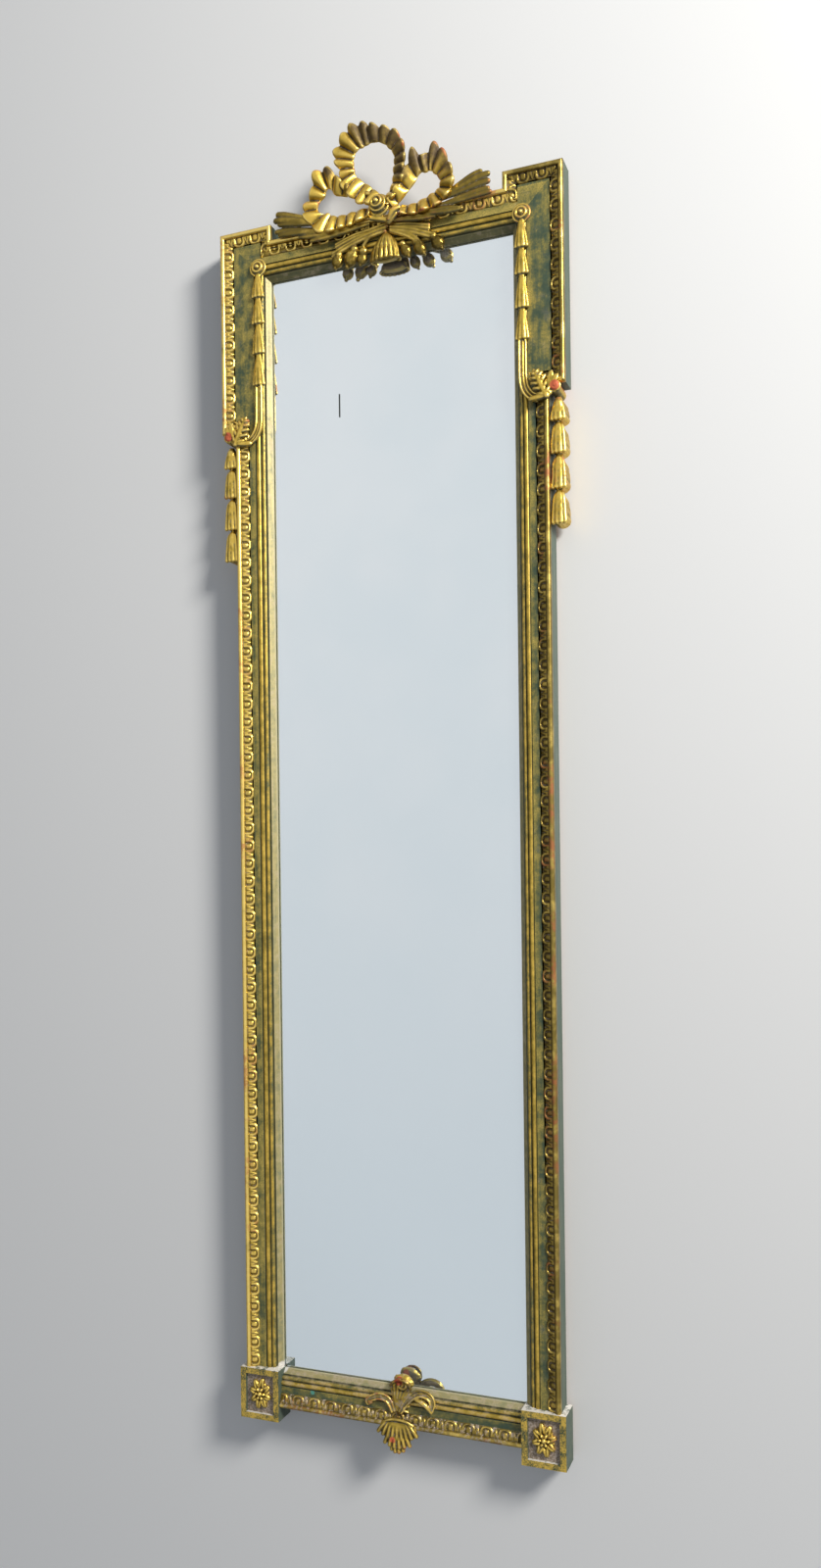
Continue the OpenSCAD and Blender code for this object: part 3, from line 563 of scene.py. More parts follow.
def melt(name, work, at, material, node, grain, over=None, mirrored=False, back=0):
    """Joins the lumps into one solid of so fine a grain and gilds it. at is the z and the height
    from which they were laid out, and back how far above that height the flat back is cut. A part
    that hangs over the glass may go further back: over gives its own back height, the z where it
    begins, and 1 where it lies below that z or -1 where it lies above."""
    z, h = at
    bmesh.ops.transform(work, matrix=Matrix.Diagonal((-MM if mirrored else MM, MM, MM, 1))
                        @ Matrix.Translation((0, -h, z)), verts=work.verts)
    if mirrored:
        bmesh.ops.reverse_faces(work, faces=work.faces)
    name += "_carving"
    block = put_in_scene(name + "_block", into_mesh(name + "_block", work))
    remesh = block.modifiers.new("melt", "REMESH")
    remesh.mode = "VOXEL"
    remesh.voxel_size = grain * MM
    bpy.context.view_layer.update()
    melted = bpy.data.meshes.new_from_object(block.evaluated_get(bpy.context.evaluated_depsgraph_get()))
    bpy.data.objects.remove(block)
    work = bmesh.new()
    work.from_mesh(melted)
    bmesh.ops.smooth_vert(work, verts=work.verts, factor=0.5, use_axis_x=True, use_axis_y=True,
                          use_axis_z=True)
    hanging = work.copy()
    cut_off(work, (0, -(h + back) * MM, 0), (0, 1, 0))
    if over:
        over_back, edge, way = over
        cut_off(hanging, (0, 0, edge * MM), (0, 0, way))
        cut_off(hanging, (0, -over_back * MM, 0), (0, 1, 0))
        work.from_mesh(into_mesh(name + "_lower", hanging))
    bmesh.ops.recalc_face_normals(work, faces=work.faces)
    mesh = into_mesh(name, work)
    mesh.shade_smooth()
    note_relief(mesh, 0.22, 0.9)
    finish_piece(name, mesh, material, node)


def melt_pair(name, work, at, material, grain, back=0):
    """A carving for the right side, and its mirror image for the left one."""
    for side in ("right", "left"):
        melt(side + name, work.copy(), at, material, side + name, grain, None, side == "left", back)


# Each pleat of a loop in turn: x and z of its middle from the middle of the rail's top edge, the
# direction in which its outer end lies, and half its length across the ribbon
centre_pleats = [
    (2, 10, 240, 7), (-9, 17, 238, 9), (-19, 23, 238, 11.5), (-29, 32, 236, 11), (-36, 41, 222, 10),
    (-37, 50, 192, 8), (-40, 60, 178, 10), (-41, 70, 160, 12), (-34, 81, 134, 12), (-26, 86, 116, 13.8),
    (-16, 87, 97, 11.7), (-6, 85, 88, 8.5), (5, 81, 74, 8), (15, 74, 50, 9), (22, 63, 18, 8),
    (23, 52, 2, 7.5), (22, 42, -8, 7.5), (21, 32, -16, 7.5), (18, 23, -25, 7), (12, 14, -35, 6.5),
    (5, 8, -40, 6),
]
left_pleats = [
    (-36, 30, 60, 5), (-48, 37, 62, 8), (-58, 49, 92, 11), (-69, 47, 124, 11.5), (-72, 34, 160, 8),
    (-80, 24, 185, 8), (-79, 13, 195, 9), (-67, 3, 238, 12), (-56, -1, 258, 10), (-45, -1, 272, 8.5),
    (-34, 0, 268, 8.5), (-23, 1, 262, 8), (-10, 4, 262, 7),
]
right_pleats = [
    (12, 6, 120, 5), (22, 16, 135, 6), (32, 29, 132, 8), (41, 45, 104, 13), (50, 40, 96, 8),
    (59, 46, 76, 13.5), (67, 38, 50, 11.5), (73, 27, 20, 9), (75, 16, -6, 9), (70, 6, -38, 9),
    (60, 1, -62, 9), (48, -3, -76, 8), (36, -4, -86, 7), (24, -2, -92, 6),
]
# Stations round the ribbon's section: across, how far forward between back and front, and how far
# the pleats move it
ribbon_section = [
    (-0.7, 0, 0), (-1.0, 0.25, 0), (-1.02, 0.8, 0.2), (-0.9, 1, 0.45), (-0.6, 1, 0.65), (-0.3, 1, 0.8),
    (0, 1, 0.9), (0.3, 1, 1), (0.6, 1, 1.05), (0.85, 1, 1.05), (1.0, 0.88, 0.9), (1.02, 0.7, 0.6),
    (0.9, 0.4, 0.2), (0.5, 0, 0), (-0.7, 0, 0)]
# Heights of the ribbon's inner edge, and of its outer edge above that, and depth of its creases
RIBBON_LOW, RIBBON_RISE, FOLD = 3.0, 7.0, 5.8
RIBBON_STEP = 0.8
# Height of the bead's crown, on which the crest and the palmette lie
FRONT = 27.0


def ribbon(work, pleats):
    path = [list(pleats[0])]
    for x, z, turn, half in pleats[1:]:
        last = path[-1][2]
        path.append([x, z, last + (turn - last + 180) % 360 - 180, half])
    places = along([[*station, number] for number, station in enumerate(path)], RIBBON_STEP)
    around = len(ribbon_section) - 1
    grid = bmesh.ops.create_grid(work, x_segments=len(places) - 1, y_segments=around, size=0.5)
    for v in grid["verts"]:
        i, j = round((v.co.x + 0.5) * (len(places) - 1)), round((v.co.y + 0.5) * around)
        x, z, turn, half, number = places[i]
        side, share, moved = ribbon_section[j]
        pleat = abs(math.cos(math.pi * number)) ** 0.75
        reach = half * side * ((0.70 + 0.30 * pleat) if side > 0 else (0.90 + 0.10 * pleat))
        crown = RIBBON_LOW + RIBBON_RISE * (side + 1) / 2 + 1.2 * (1 - side * side)
        crease = FOLD * (1 - pleat) - 1.1 * math.sin(2.4 * round(number))
        h = share * (crown + 1) - crease * moved - 1
        to_x, to_z = arc(turn, reach)
        v.co = (x + to_x, -max(h, -1), z + to_z)
    bmesh.ops.remove_doubles(work, verts=grid["verts"], dist=0.01)
    bmesh.ops.holes_fill(work, edges=[e for e in work.edges if e.is_boundary], sides=0)


# the bow's brown patches are painted shade, with some tarnish, on its top fan, its right loop and between
# the loops
ribbon_gold = gilded("ribbon_gold", (0.040, 0.022, 0.006), wear=0.9, contrast=1.25, shade_and_tarnish=(
    (-8, 114, 27), (22, 100, 20), (28, 76, 15), (25, 56, 12), (44, 74, 22), (64, 72, 18), (82, 55, 15),
    (-58, 75, 11), (46, 63, 14)))
work = bmesh.new()
for pleats in (left_pleats, right_pleats, centre_pleats):
    ribbon(work, pleats)
# the ribbon's end, which runs up from the knot behind the right loop, and a curled bit of its edge
rod(work, [(8, 6.5, 1.5, 5), (18, 20.5, 1.5, 4.6), (28, 30.5, 1.5, 5), (36, 40.5, 1.5, 4)], deep=0.5)
rod(work, [(-14, 22.5, 4, 2.4), (-8, 18.5, 5, 2.2)])
bmesh.ops.recalc_face_normals(work, faces=work.faces)
melt("bow", work, (RAIL_TOP, FRONT), ribbon_gold, "crest_bow", 0.62)


# ---- Knot: a turned boss of rings and a button over the crossing, and the short crumpled end of
# the ribbon below it.
def ring(work, x, z, h, r, wire_r, deep=1.0):
    for a in range(0, 360, 10):
        to_x, to_z = arc(a, r)
        lump(work, x + to_x, z + to_z, h, 2 * wire_r, 2 * wire_r, 2 * wire_r * deep)


carved_gold = gilded("carving_gold", (0.045, 0.028, 0.008), dust=0.35, wear=0.8, under=0.9)
knot_x, knot_z = -0.6, 26.8
work = bmesh.new()
for r, h, wire_r, shift in ((10.2, 4, 1.9, 0), (8.0, 7, 1.7, 1), (5.3, 9.2, 1.6, 2)):
    ring(work, knot_x - 0.8 * shift, knot_z + 1.2 * shift, h, r, wire_r, 1.2)
lump(work, knot_x, knot_z, 3.5, 22, 22, 6)
lump(work, knot_x - 0.6, knot_z + 1, 5.5, 16, 16, 6)
lump(work, knot_x - 1.4, knot_z + 2, 7.6, 10, 10, 5)
lump(work, knot_x - 2.2, knot_z + 3.4, 9.6, 5.4, 5.4, 4.4)
rod(work, [(21.5, 19.8, 4.5, 2.6), (15.5, 17, 6, 3.4), (10.6, 9.6, 5, 2.6)])
rod(work, [(18, 14, 3.5, 2.6), (10, 8, 3.5, 2.8)])
rod(work, [(-10, 16, 3.5, 3.0), (2, 12, 4, 3.2), (10, 9, 4, 2.4)], deep=0.8)
melt("knot", work, (0, FRONT), carved_gold, "crest_knot", 0.55, back=3.5)


# ---- Leaf sprays: broad ribbed leaves that lie along the top rail on both sides of the bow, with
# long pointed ones below them. Each side's leaves are carved from one piece.
def leaf_blade(work, start, end, wide, t, h=0):
    """A long pointed leaf: a flat blade with two raised ribs, which part and meet again."""
    (x0, z0), (x1, z1) = start, end
    length = math.hypot(x1 - x0, z1 - z0)
    ux, uz = (x1 - x0) / length, (z1 - z0) / length
    # how broad the leaf is at shares of its length
    shape = ((0, 0.30), (0.25, 0.62), (0.55, 0.95), (0.82, 0.72), (1, 0.25))
    rod(work, [(x0 + ux * length * k * 0.97, z0 + uz * length * k * 0.97, h + t * 0.18, wide * 0.46 * broad)
               for k, broad in shape], deep=t / wide * 0.75)
    for part in (-0.5, 0.5):
        rib = []
        for k, broad in shape:
            spread = part * wide * 0.345 * broad
            reach = length * k * (1 - 0.03 * k)
            rib.append((x0 + ux * reach - uz * spread, z0 + uz * reach + ux * spread,
                        h + t * (0.42 + 0.12 * math.sin(k * math.pi)), wide * broad * 0.2635 + 0.5))
        rod(work, rib, deep=0.85)


def spray_leaf(work, root, tips, wide, t):
    """A broad leaf whose ribs spread from the root to ragged tips. wide is the width of one rib."""
    x0, z0 = root
    for number, (x, z) in enumerate(tips):
        lift = 0.8 if number % 2 else 0
        rod(work, [(x0, z0, t * 0.3, wide * 0.22),
                   (x0 * 0.55 + x * 0.45, z0 * 0.55 + z * 0.45, t * 0.45 + lift, wide * 0.40),
                   (x0 * 0.18 + x * 0.82, z0 * 0.18 + z * 0.82, t * 0.5 + lift, wide * 0.52),
                   (x, z, t * 0.35, wide * 0.42)], deep=t / wide * 0.95)


toned_gold = gilded("toned_gold", (0.034, 0.025, 0.008), age=0.85, under=0.6)
work = bmesh.new()
spray_leaf(work, (-58, 21.5), ((-120, 42.5), (-123, 36.5), (-118, 32)), 8.2, 6)
spray_leaf(work, (-50, 13.5), ((-122, 24.5), (-118, 20)), 6.8, 5)
leaf_blade(work, (-45, 11.5), (-97, 13.5), 9, 4.6)
leaf_blade(work, (-14, 11.5), (-84, 6.5), 9, 4.6)
melt("left_spray", work, (0, FRONT), toned_gold, "left_leaf_spray", 0.6)
work = bmesh.new()
spray_leaf(work, (60, 18.5), ((110, 39), (118, 35.5), (118, 28)), 7.6, 6)
spray_leaf(work, (50, 11.5), ((97, 17), (118, 21), (120, 17)), 6.0, 5)
leaf_blade(work, (40, 10.5), (92, 6.5), 9.5, 4.8)
leaf_blade(work, (14, 9.5), (62, 4.5), 8, 4.4)
melt("right_spray", work, (0, FRONT), toned_gold, "right_leaf_spray", 0.6)


# ---- Bud sprays and bell: slender stalks with round buds, and a fluted bell flower that hangs
# from under the knot over the edge of the glass.
SEAT = 21.2
# z and height of the spot under the knot from which they spring, and how far back they may hang
# over the glass, below the z of its edge
UNDER_KNOT = (2.2, SEAT)
OVER_TOP = (16.2, -14.5, 1)


def bud(work, top_at, low_at, wide, h):
    """A plump bud that hangs from top_at to low_at, with a small cap where its stalk joins."""
    (x0, z0), (x1, z1) = top_at, low_at
    turn = math.degrees(math.atan2(z1 - z0, x1 - x0))
    long = math.hypot(x1 - x0, z1 - z0)
    for share, up, stretch, broad, deep in ((0.55, 0.4, 0.88, 1, 0.85), (0.15, 1.2, 0.42, 0.62, 0.7),
                                            (1, 0.6, 0.22, 0.30, 0.4)):
        lump(work, x0 * (1 - share) + x1 * share, z0 * (1 - share) + z1 * share, h + up, long * stretch,
             wide * broad, wide * deep, turn)


def stalk(work, points, r):
    """Two thin stalks side by side along the points."""
    for shift in (-0.55, 0.55):
        rod(work, [(x, z + shift * r, h, r * 0.72) for x, z, h in points])


bud_gold = gilded("bud_gold", (0.040, 0.032, 0.012), wear=0.5, contrast=0.8, age=0.6, under=0.35)
work = bmesh.new()
stalk(work, [(6, 6, 4.3), (-14, 3.5, 3.8), (-33, 1.5, 3.8), (-54, -4, 2.8)], 2.6)
stalk(work, [(3, 1.5, 3.8), (-15, -1, 3.8), (-37, -6, 3.4), (-58, -13, 2.4)], 2.9)
rod(work, [(3, 0.5, 3.8, 1.8), (-14, -3, 3.8, 1.8), (-22, -10, 3.3, 1.9)])
bud(work, (-50, -12), (-56, -27), 13.5, 0.2)
bud(work, (-31, -9), (-42, -28.5), 15.5, 0.6)
lump(work, -22.5, -16, 2.3, 10, 10, 8, -60)
bud(work, (-22, -15), (-27, -29), 12, -0.2)
melt("left_bud", work, UNDER_KNOT, bud_gold, "left_bud_spray", 0.6, OVER_TOP)
work = bmesh.new()
stalk(work, [(10, 3.5, 3.8), (30, 1, 4.1), (52, -5, 3.4)], 3.0)
stalk(work, [(10, 1.5, 4), (34, -6, 4), (58, -16, 3.2)], 3.2)
stalk(work, [(10, 0, 3.8), (26, -7.5, 4), (37, -15, 3.8), (43, -22, 2.8)], 3.0)
bud(work, (55, -14), (66, -29), 14.5, 0.2)
bud(work, (35, -15), (46, -31), 13.5, 0)
bud(work, (21, -14), (29, -30), 12, -0.2)
melt("right_bud", work, UNDER_KNOT, bud_gold, "right_bud_spray", 0.6, OVER_TOP)

bell_gold = gilded("bell_gold", (0.075, 0.050, 0.016), dust=0.35, wear=0.5, under=0.4, age=0.05)
work = bmesh.new()
flutes = 8
for i in range(flutes):
    a = math.pi * (0.04 + 0.92 * (i + 0.5) / flutes)
    c, s = math.cos(a), math.sin(a)
    rod(work, [(4 - 1.5 * c, -1, 2.4 * s, 1.6), (3.5 - 8 * c, -9, 5.2 * s, 2.3),
               (2.5 - 13 * c, -18, 6.2 * s, 2.7), (2 - 15.4 * c, -28, 6.6 * s, 2.35)])
lump(work, 3, -9, 0, 16, 18, 6)
lump(work, 2, -19, 0, 28, 19, 8)
# the round mouth, with its hollow end turned down
for z, half in ((22.5, 15.2), (24.5, 15.8), (26.5, 16.2)):
    lump(work, 2, -z, -1.5, 2 * half, 6, 15)
rod(work, [(2 + arc(a, 16.4)[0], -28.6, -1 + arc(a, 7.6)[1], 1.3) for a in range(0, 361, 15)])
melt("bell", work, UNDER_KNOT, bell_gold, "crest_bell", 0.55, OVER_TOP)


# ---- Inner drops: a ringed boss on each upper corner of the sight moulding, four bellflower
# husks strung below it, and a strap that runs down and sweeps out to the ear's foot.
def band(work, path, half):
    """A scroll of ribbon shape along x and z points: a hollow floor between a high outer and a lower
    inner edge. half is half its width at each point."""
    places = along([(x, z, wide) for (x, z), wide in zip(path, half)], CARVED_STEP)
    for number, (x, z, wide) in enumerate(places):
        before, after = places[max(number - 1, 0)], places[min(number + 1, len(places) - 1)]
        run = np.array([after[0] - before[0], after[1] - before[1]])
        side_x, side_z = np.array([-run[1], run[0]]) / max(1e-6, float(np.hypot(*run)))
        lump(work, x, z, 0.3, 2 * wide, 2.2, 4.0, math.degrees(math.atan2(side_z, side_x)))
        for reach, r, lift in ((0.78, 1.35, 2.6), (-0.05, 0.8, 1.9), (-0.8, 1.15, 2.0)):
            lump(work, x + side_x * wide * reach, z + side_z * wide * reach, lift, 2 * r, 2 * r, 2.6 * r)


def inner_drop(side, boss_z, mouths, shift=0.0):
    """mouths are the heights of the husks' open lower ends, and shift moves the drop outwards."""
    work = bmesh.new()
    drop_x = SIDE - 27.1 + shift
    ring(work, drop_x, boss_z, 0.6, 8.7, 1.5)
    ring(work, drop_x, boss_z, 3.0, 5.2, 1.7)
    lump(work, drop_x, boss_z, 0, 18, 18, 7)
    lump(work, drop_x, boss_z, 2.6, 6, 6, 8)
    z = boss_z - 8.5
    for mouth in mouths:
        for part, flare, r in ((-1, -5.6, 2.1), (-0.35, -2.0, 2.5), (0.35, 2.0, 2.5), (1, 5.6, 2.1)):
            rod(work, [(drop_x + 0.9 * part, z + 1.5, 1.5, 1.4),
                       (drop_x + flare * 0.62, z * 0.58 + mouth * 0.42, 2.5 - 0.9 * abs(part), r * 0.95),
                       (drop_x + flare, mouth + r * 0.8, 2.6 - abs(part), r * 1.1)], deep=1.05)
        z = mouth
    lump(work, drop_x, z + 4, 0, 11, 16, 6)
    sweep = [(16.5, -62), (8, -57.5), (2.6, -50), (0.4, -41), (0, -30), (0, -14), (0, 3)]
    band(work, [(drop_x + x, z + down) for x, down in sweep], (4.2, 4.4, 4.5, 4.4, 4.2, 4.1, 4.0))
    melt(side + "_inner_drop", work, (0, SEAT), carved_gold, side + "_inner_drop", 0.6,
         mirrored=side == "left")


inner_drop("right", -8.1, (-43.6, -70.6, -104.8, -136.6))
inner_drop("left", -6.0, (-39.5, -68.5, -101.5, -136.2), -1.2)


# ---- Ear scrolls: under each ear a small volute, its rolled end rubbed to the red bole, with a
# cluster of leaf tips that climbs over the corner of the moulding.
scroll_gold = gilded("ear_scroll_gold", (0.05, 0.035, 0.012), dust=0.5, wear=0.9, under=0.9,
                     spot=(185.2, -189.9, 4.8))
work = bmesh.new()
mid_x, mid_z = SIDE + 6.8, EAR_FOOT - 6.0
for h in range(-25, 0, 3):
    lump(work, mid_x, mid_z, h, 11.6, 11.6, 6)
# the rolled end, a coil round a button
coil = [(*arc(a, 4.6 - a / 150), 0.4 + a / 300) for a in range(-60, 420, 30)]
rod(work, [(mid_x + 0.4 + x, mid_z + 1.6 + z, h, 1.6) for x, z, h in coil])
lump(work, mid_x + 0.4, mid_z + 1.6, 1.4, 4, 4, 4)
# the leaf: lobes on both sides of a rib that climbs inwards over the corner of the moulding
low, high = np.array((176.5, -199.0)), np.array((163.5, -171.5))
run, rib_l = high - low, 30.4
rod(work, [(*low, 1.5, 3.2), (*(low + run * 0.5), 2.6, 3.0), (*high, 1.2, 1.6)], deep=0.8)
for k, reach in ((0.05, 8.0), (0.25, 9.5), (0.45, 9.0), (0.65, 7.0), (0.83, 4.5)):
    for way in (1, -1):
        at = low + run * k
        end = at + (np.array((-run[1], run[0])) * 0.80 * way + run * 0.62) / rib_l * reach
        rod(work, [(*at, 1.6, 1.5), (*(at + end) / 2, 2.6, 1.9), (*end, 0.8, 2.1)])
# the knot that ties it to the strap, and the tips that stand up beside the rolled end
rod(work, [(160, -199.5, -0.5, 3.0), (170, -199, 1, 3.4), (179, -196, 0.5, 3.2)], deep=0.8)
for start, end in (((179, -192), (182.5, -174.5)), ((182, -190), (188.5, -179))):
    leaf_blade(work, start, end, 6.5, 4.4, 0.2)
melt_pair("_ear_scroll", work, (0, FRONT), scroll_gold, 0.6, -FRONT)


# ---- Outer drops: four deep husks against the outside of each stile, below the scroll. Their
# fronts are fluted, and in their hollows the green paint shows, darkened with painted shade.
outer_gold = gilded("outer_drop_gold", (0.05, 0.06, 0.03), dust=0.4, wear=0.9)
HUSK_L = 32.1
work = bmesh.new()
mid = SIDE + 8.5
z = EAR_FOOT - 12.7
for step, crown in ((0.77, 0.5), (1.03, 0.28), (1.1, 0.28), (1.1, 0.28)):
    long = HUSK_L * step
    for part in (-1.5, -0.5, 0.5, 1.5):
        rod(work, [(mid + 1.2 * part, z - 2.5, 20.5 - abs(part), 1.9),
                   (mid + 3.0 * part, z - long * crown, 22.3 - 0.9 * abs(part), 2.2),
                   (mid + 4.1 * part, z - long + 2.0, 23.2 - 0.9 * abs(part), 2.35)])
    for h in range(3, 22, 3):
        wide = 15.6 if h < 20 else 13
        lump(work, mid, z - long * 0.62, h, wide, long * 0.78, 7)
        lump(work, mid, z - long * 0.80, h, wide + 0.8, long * 0.42, 7)
        lump(work, mid, z - long * 0.40, h, wide * 0.85, long * 0.66, 7)
    z -= long
melt_pair("_outer_drop", work, (0, 0), outer_gold, 0.7)


# ---- Base carving: an acanthus leaf that rises between two scrolls from the middle of the
# bottom rail, and a palmette of overlapping scales that hangs below it.
OVER_FOOT = (12.5, -1221.0, -1)
# the acanthus's brown patches are painted shade, with some tarnish, under the curled tip and on the blade
cup_gold = gilded("acanthus_gold", (0.11, 0.11, 0.085), dust=0.95, wear=0.7, contrast=1.1, age=0.45,
                  under=1.0, spot=(3, -1210, 4.0),
                  shade_and_tarnish=((5, -1230, 6), (12, -1218, 6), (2, -1238, 5), (13, -1232, 5)))
work = bmesh.new()
# the leaf: a fluted blade that widens from the root, with a bright raised edge on the left
for low_x, high_x, high_z, r in ((-2.4, -6.6, 26, 1.4), (-1.4, -3.0, 27, 2.2), (-0.4, 2.0, 27, 2.5),
                                 (0.6, 7.2, 26.5, 2.5), (1.6, 12.0, 25, 2.4), (2.4, 15.5, 23, 1.9)):
    rod(work, [(low_x, -2, 1.2, r * 0.6), (low_x * 0.5 + high_x * 0.32, 9.5, 1.8, r * 0.85),
               (high_x, high_z, 2.2, r)])
lump(work, 4, 22, -1, 20, 12, 7)
# its tip curls over towards the glass: a dome behind a hollow lip, with a small hook in it
lump(work, 6.5, 28.5, -3.2, 24, 12, 11, -14)
lump(work, 8, 30, -4.2, 17, 10.5, 9, -20)
rod(work, [(-6.5, 25, 3.2, 1.4), (-3.3, 28.8, 4.4, 1.6), (2.2, 32.4, 5, 1.7), (8.6, 32.6, 5, 1.7),
           (13.8, 29.4, 4.4, 1.7), (16, 24, 3.2, 1.3)])
rod(work, [(10.5, 29.4, 4.4, 1.5), (11.4, 26, 4.6, 1.5), (7.6, 22.8, 4.2, 1.7), (3.2, 24, 3.6, 1.2)])
# the scrolls, the tip that hangs from the right one, and the small curls at the root
band(work, [(-4, -3), (-6.6, 3.2), (-10.6, 8.8), (-18.8, 11), (-27, 8.6), (-33.3, 4.6), (-31.8, 0.8)],
     (1.8, 2.6, 3.3, 3.5, 3.2, 2.6, 1.6))
band(work, [(38.5, 2.8), (40.2, 11.6), (36.5, 18), (28, 20.4), (19, 17), (10.5, 8.2), (6, 0.8), (4, -3)],
     (1.8, 3.0, 3.7, 3.8, 3.5, 3.0, 2.4, 1.8))
rod(work, [(22.2, 13, 2.6, 2.2), (28.8, 11.5, 3.8, 2.9), (34.2, 8, 3.6, 2.6), (38.8, 1, 2, 1.4)])
rod(work, [(13.6, 4.6, 1.5, 1.4), (9, 3.2, 2.5, 1.7), (8.6, 0, 2.5, 1.7), (12.5, -2, 1.5, 1.3)])
lump(work, -29.6, 3.4, 1.6, 5, 5, 6)
melt("acanthus", work, (-1240, SEAT), cup_gold, "base_acanthus", 0.6, OVER_FOOT)

shell_gold = gilded("palmette_gold", (0.035, 0.024, 0.008), dust=0.4, wear=0.8, contrast=1.2, age=0.6,
                    under=0.8, spot=(-2, -1269, 3.2))
work = bmesh.new()
shell_x = 2.5
lump(work, shell_x + 0.5, -1, 0, 44, 25, 9)
lump(work, shell_x, -9, 0, 31, 24, 9)
lump(work, shell_x - 1, -16.5, 0, 16, 16, 7)
# Rows of hanging ribs from the top down: how many, z of their upper and lower ends, half the row's
# width there, how much its outer ribs are raised, and height
for count, upper, lower, upper_half, lower_half, droop, lift in (
        (9, 8, -9.5, 12, 21.5, 5.0, 3.2), (6, -3.5, -17.5, 8.5, 14, 2.5, 4.0),
        (4, -11.5, -23, 5, 6.5, 1.5, 3.4)):
    for i in range(count):
        part = 2 * i / (count - 1) - 1
        rise = droop * part * part
        rod(work, [(shell_x + part * upper_half, upper - rise * 0.2, lift * 0.5, 1.1),
                   (shell_x + part * (upper_half + lower_half) * 0.52, (upper + lower) / 2 + rise * 0.4,
                    lift - 0.8 * part * part, 1.9),
                   (shell_x + part * lower_half, lower + rise, lift - 1.6 * part * part, 2.3)])
rod(work, [(-15, 4.5, 1, 1.5), (-7, 9, 2.4, 1.7), (2, 10.5, 2.8, 1.8), (12, 9.5, 2.4, 1.7),
           (20, 5.5, 1, 1.5)])
melt("palmette", work, (RAIL_FOOT, FRONT), shell_gold, "base_palmette", 0.55)


# ---- Corner blocks: painted and gilded on the raised border, green on the sides, with pinkish
# dust in the sunk panel round a carved rosette.
BORDER_H = 28.2
DUSTY_BROWN = (0.20, 0.15, 0.10)
block = Finish("block_gold")
_, y, _ = block.xyz()
_, out, up = block.facing()
border = (0 - y).ramp(BORDER_H - 0.4, BORDER_H)
specks = block.noise(700, 2, 0.5)
mottle = block.noise(120, 4, 0.7)
rubbed = (mottle * 0.6 + specks * 0.5).ramp(0.42, 0.66)
gold = block.mix(rubbed, block.mix(mottle.ramp(0.35, 0.65), DARK_GREEN, OLIVE), GOLD)
face = block.mix(border, block.mix(specks.ramp(0.4, 0.62), DUSTY_BROWN, DUST), gold)
# the gesso shows on the top, where the stile stands on the block
edge = block.mix(mottle.ramp(0.3, 0.7), SIDE_GREEN, PALE_SIDE_GREEN)
edge = block.mix(up.ramp(0.6, 0.8) * mottle.ramp(0.35, 0.5), edge, GESSO)
front = (0 - out).ramp(0.5, 0.8)
leaf = (rubbed * border) * front
colour = block.mix(front, edge, face)
colour = block.mix(out.ramp(0.5, 0.8), colour, wood_colour(block, 200, 14))
block.set(Base_Color=colour, Metallic=leaf * 0.6, Roughness=0.62 - leaf * 0.22,
          Normal=block.bump(mottle + specks * 0.6, 0.0003, 0.5))
dress(block.material, "left_corner_block", "right_corner_block")
# Floor of the sunk panel, and middle of the right block
PANEL_H = 25.0
ROSETTE_X, ROSETTE_Z = 160.75, -1245.75
# the rosette: split petals, taller than they are wide, with small ones between them, round a button
work = bmesh.new()
petals, tall = 8, 1.34
for i in range(petals):
    a = 2 * math.pi * (i + 0.3) / petals
    x, z = math.cos(a), tall * math.sin(a)
    turn, reach = math.degrees(math.atan2(z, x)), math.hypot(x, z)
    for half in (-1, 1):
        lump(work, ROSETTE_X + x * 8.6 - z / reach * 1.5 * half, z * 8.6 + x / reach * 1.5 * half,
             1.2, 9.5 * reach, 4.0, 6.2, turn - 9 * half)
    a += math.pi / petals
    x, z = math.cos(a), tall * math.sin(a)
    lump(work, ROSETTE_X + x * 7.5, z * 7.5, 0.6, 8.0, 3.4, 4.6, math.degrees(math.atan2(z, x)))
for a in range(0, 360, 60):
    lump(work, ROSETTE_X + arc(a, 4.3)[0], arc(a, 5.2)[1], 2.4, 4.6, 3.6, 6, a)
lump(work, ROSETTE_X, 0, 3.2, 5.2, 5.6, 6.4)
melt_pair("_rosette", work, (ROSETTE_Z, PANEL_H), carved_gold, 0.5)


# ---- Glass and silvering: a 3 mm plate, silvered on its back. The silver is lost in one short
# upright scratch near the top left.
def plate(name, at_y, sizes, material, node, arris=0):
    """A thin upright plate round the middle of the glass, with its edges ground off by arris."""
    work = bmesh.new()
    place = Matrix.Translation((0, at_y, -0.6195)) @ Matrix.Diagonal((*sizes, 1))
    bmesh.ops.create_cube(work, size=1, matrix=place)
    if arris:
        bmesh.ops.bevel(work, geom=work.edges[:], offset=arris, affect="EDGES", segments=2, profile=0.5,
                        material=-1)
    finish_piece(name, into_mesh(name, work), material, node)


glass = Finish("plate_glass").set(Base_Color=(0.55, 0.62, 0.60), Roughness=0.0, Alpha=0.06, IOR=1.5)
plate("glass_plate", -0.00805, (0.2904, 0.0029, 1.2124), glass, "mirror_glass", 0.0006)
silver = Finish("silvering")
DARK_REFLECTION_SILVER, DULL_SILVER, BRIGHT_SILVER = (0.635, 0.695, 0.73), (0.77, 0.82, 0.84), (0.82, 0.85, 0.86)
x, _, z = silver.xyz()
scratch = (1 - (x + 59.3).abs().ramp(0.7, 1.1)) * (1 - (z + 166.5).abs().ramp(12.0, 13.3))
colour = silver.mix(silver.noise(6, 3, 0.5).ramp(0.3, 0.7), DULL_SILVER, BRIGHT_SILVER)
# painted reflection: the silver darkens towards the bottom
colour = silver.mix(z.ramp(-1250, -150), DARK_REFLECTION_SILVER, colour)
silver.set(Base_Color=silver.mix(scratch, colour, (0.03, 0.03, 0.03)), Metallic=1.0, Roughness=0.03)
plate("silver_film", -0.0080, (0.2902, 0.0002, 1.2122), silver.material, "silvering")


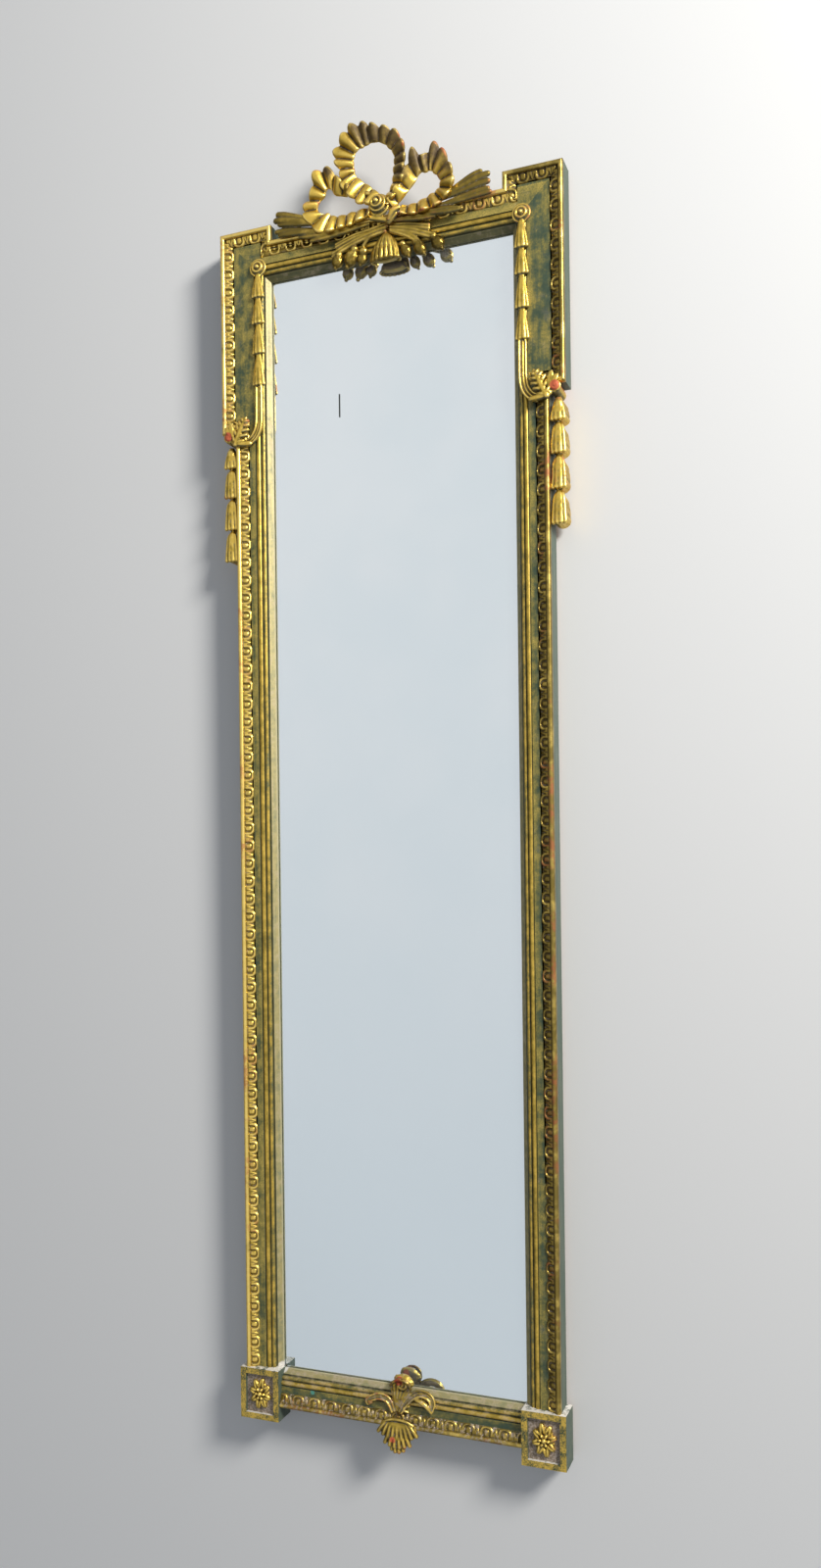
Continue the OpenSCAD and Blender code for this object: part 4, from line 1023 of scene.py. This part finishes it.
# ---- Back: two softwood boards held in the rebate by brads, the hidden dowels and mitre keys of
# the frame's corners, and the two blocks on which the glass stands, all of bare wood.
board = Finish("backboard_wood")
board.set(Base_Color=wood_colour(board, 130, 5), Roughness=0.8,
          Normal=board.bump(board.noise(1, 5, 0.7, board.stretched(300, 60, 8)), 0.0004, 0.6))
joinery = Finish("joinery_wood")
joinery.set(Base_Color=wood_colour(joinery, 90, 30), Roughness=0.75)
dress(board.material, "left_backboard", "right_backboard")
dress(joinery.material, "corner_dowels", "mitre_keys", "setting_blocks")


# ---- Hangers: two iron plates screwed to the stiles, each with a ring that swings in its knuckle.
# The brads of the backboards have the same dark, lightly rusted iron.
iron = Finish("aged_iron")
rust = iron.noise(300, 4, 0.7)
iron.set(Base_Color=iron.mix(rust.ramp(0.45, 0.7), (0.20, 0.19, 0.17), (0.16, 0.08, 0.04)),
         Metallic=1 - rust.ramp(0.5, 0.75) * 0.7, Roughness=0.45 + rust.ramp(0.4, 0.7) * 0.3,
         Normal=iron.bump(rust, 0.0002, 0.5))
dress(iron.material, "hanger_screws", "backboard_brads", "left_hanger_plate", "right_hanger_plate",
      "left_hanger_ring", "right_hanger_ring")


# ---- Floor, light and air: the mirror lies on a plain pale floor, which shows only its front. The
# patch under the frame casts no shadow, so that light from behind reaches the back.
FLOOR_Y = 0.0066
floor_x = (-4, -0.190, 0.190, 4)
floor_z = (-4.6, -1.2515, 0.033, 3.4)
work = bmesh.new()
grid = bmesh.ops.create_grid(work, x_segments=3, y_segments=3, size=1.5, matrix=turned(90, "X"))
for v in grid["verts"]:
    v.co = (floor_x[round(v.co.x + 1.5)], FLOOR_Y, floor_z[round(v.co.z + 1.5)])
for face in work.faces:
    middle = face.calc_center_median()
    face.material_index = int(abs(middle.x) < 1 and -1 < middle.z < 0)
floor = put_in_scene("floor", into_mesh("floor", work))
for name in ("floor_white", "floor_under_frame"):
    pale = Finish(name)
    pale.set(Base_Color=(0.80, 0.80, 0.80), Roughness=0.9)
    clear = pale.node("NewGeometry", out="Backfacing")
    if name == "floor_under_frame":
        clear = clear.most(pale.node("LightPath", out="Is Shadow Ray"))
    opaque, open_air = Value(pale, pale.shader.outputs[0]), pale.node("BsdfTransparent")
    seen = pale.node("MixShader", {}, {0: clear, 1: opaque, 2: open_air})
    pale.put(pale.tree.nodes["Material Output"].inputs["Surface"], seen)
    floor.data.materials.append(pale.material)


def lamp(name, at, target, size, power, tint=(1, 1, 1)):
    data = bpy.data.lights.new(name, "AREA")
    data.shape = "DISK"
    data.size, data.energy, data.color = size, power, tint
    light = put_in_scene(name, data)
    light.location = at
    light.rotation_euler = (Vector(target) - Vector(at)).to_track_quat("-Z", "Y").to_euler()


lamp("key", (2.2, -1.35, 0.95), (0, 0, -0.5), 0.8, 104, (1, 0.98, 0.93))
lamp("back_fill", (1.0, 2.6, 0.8), (0, 0, -0.6), 2.0, 46)
# polished parts see a room that is brightest towards a window on the right, and dark on the left
air = Finish("air", bpy.data.worlds.new("air"))
bpy.context.scene.world = air.material
WINDOW = (0.34, -0.90, 0.26)


def light_of(colour, strength):
    return air.node("Background", {}, {"Color": colour, "Strength": strength})


towards = air.node("VectorMath", {"operation": "DOT_PRODUCT"},
                   {0: air.node("TexCoord", out="Generated"), 1: WINDOW}, out="Value")
room = light_of((0.95, 0.97, 1.0), 0.12 + towards.ramp(-0.10, 0.62) * 0.80)
gloss = air.node("LightPath", out="Is Glossy Ray").most(air.node("LightPath", out="Is Transmission Ray"))
lit = air.node("MixShader", {}, {0: gloss, 1: light_of((0.88, 0.93, 1.0), 0.31), 2: room})
final = air.node("MixShader", {}, {0: air.node("LightPath", out="Is Camera Ray"), 1: lit,
                                   2: light_of((0.93, 0.95, 0.97), 0.9)})
air.put(air.tree.nodes["World Output"].inputs["Surface"], final)
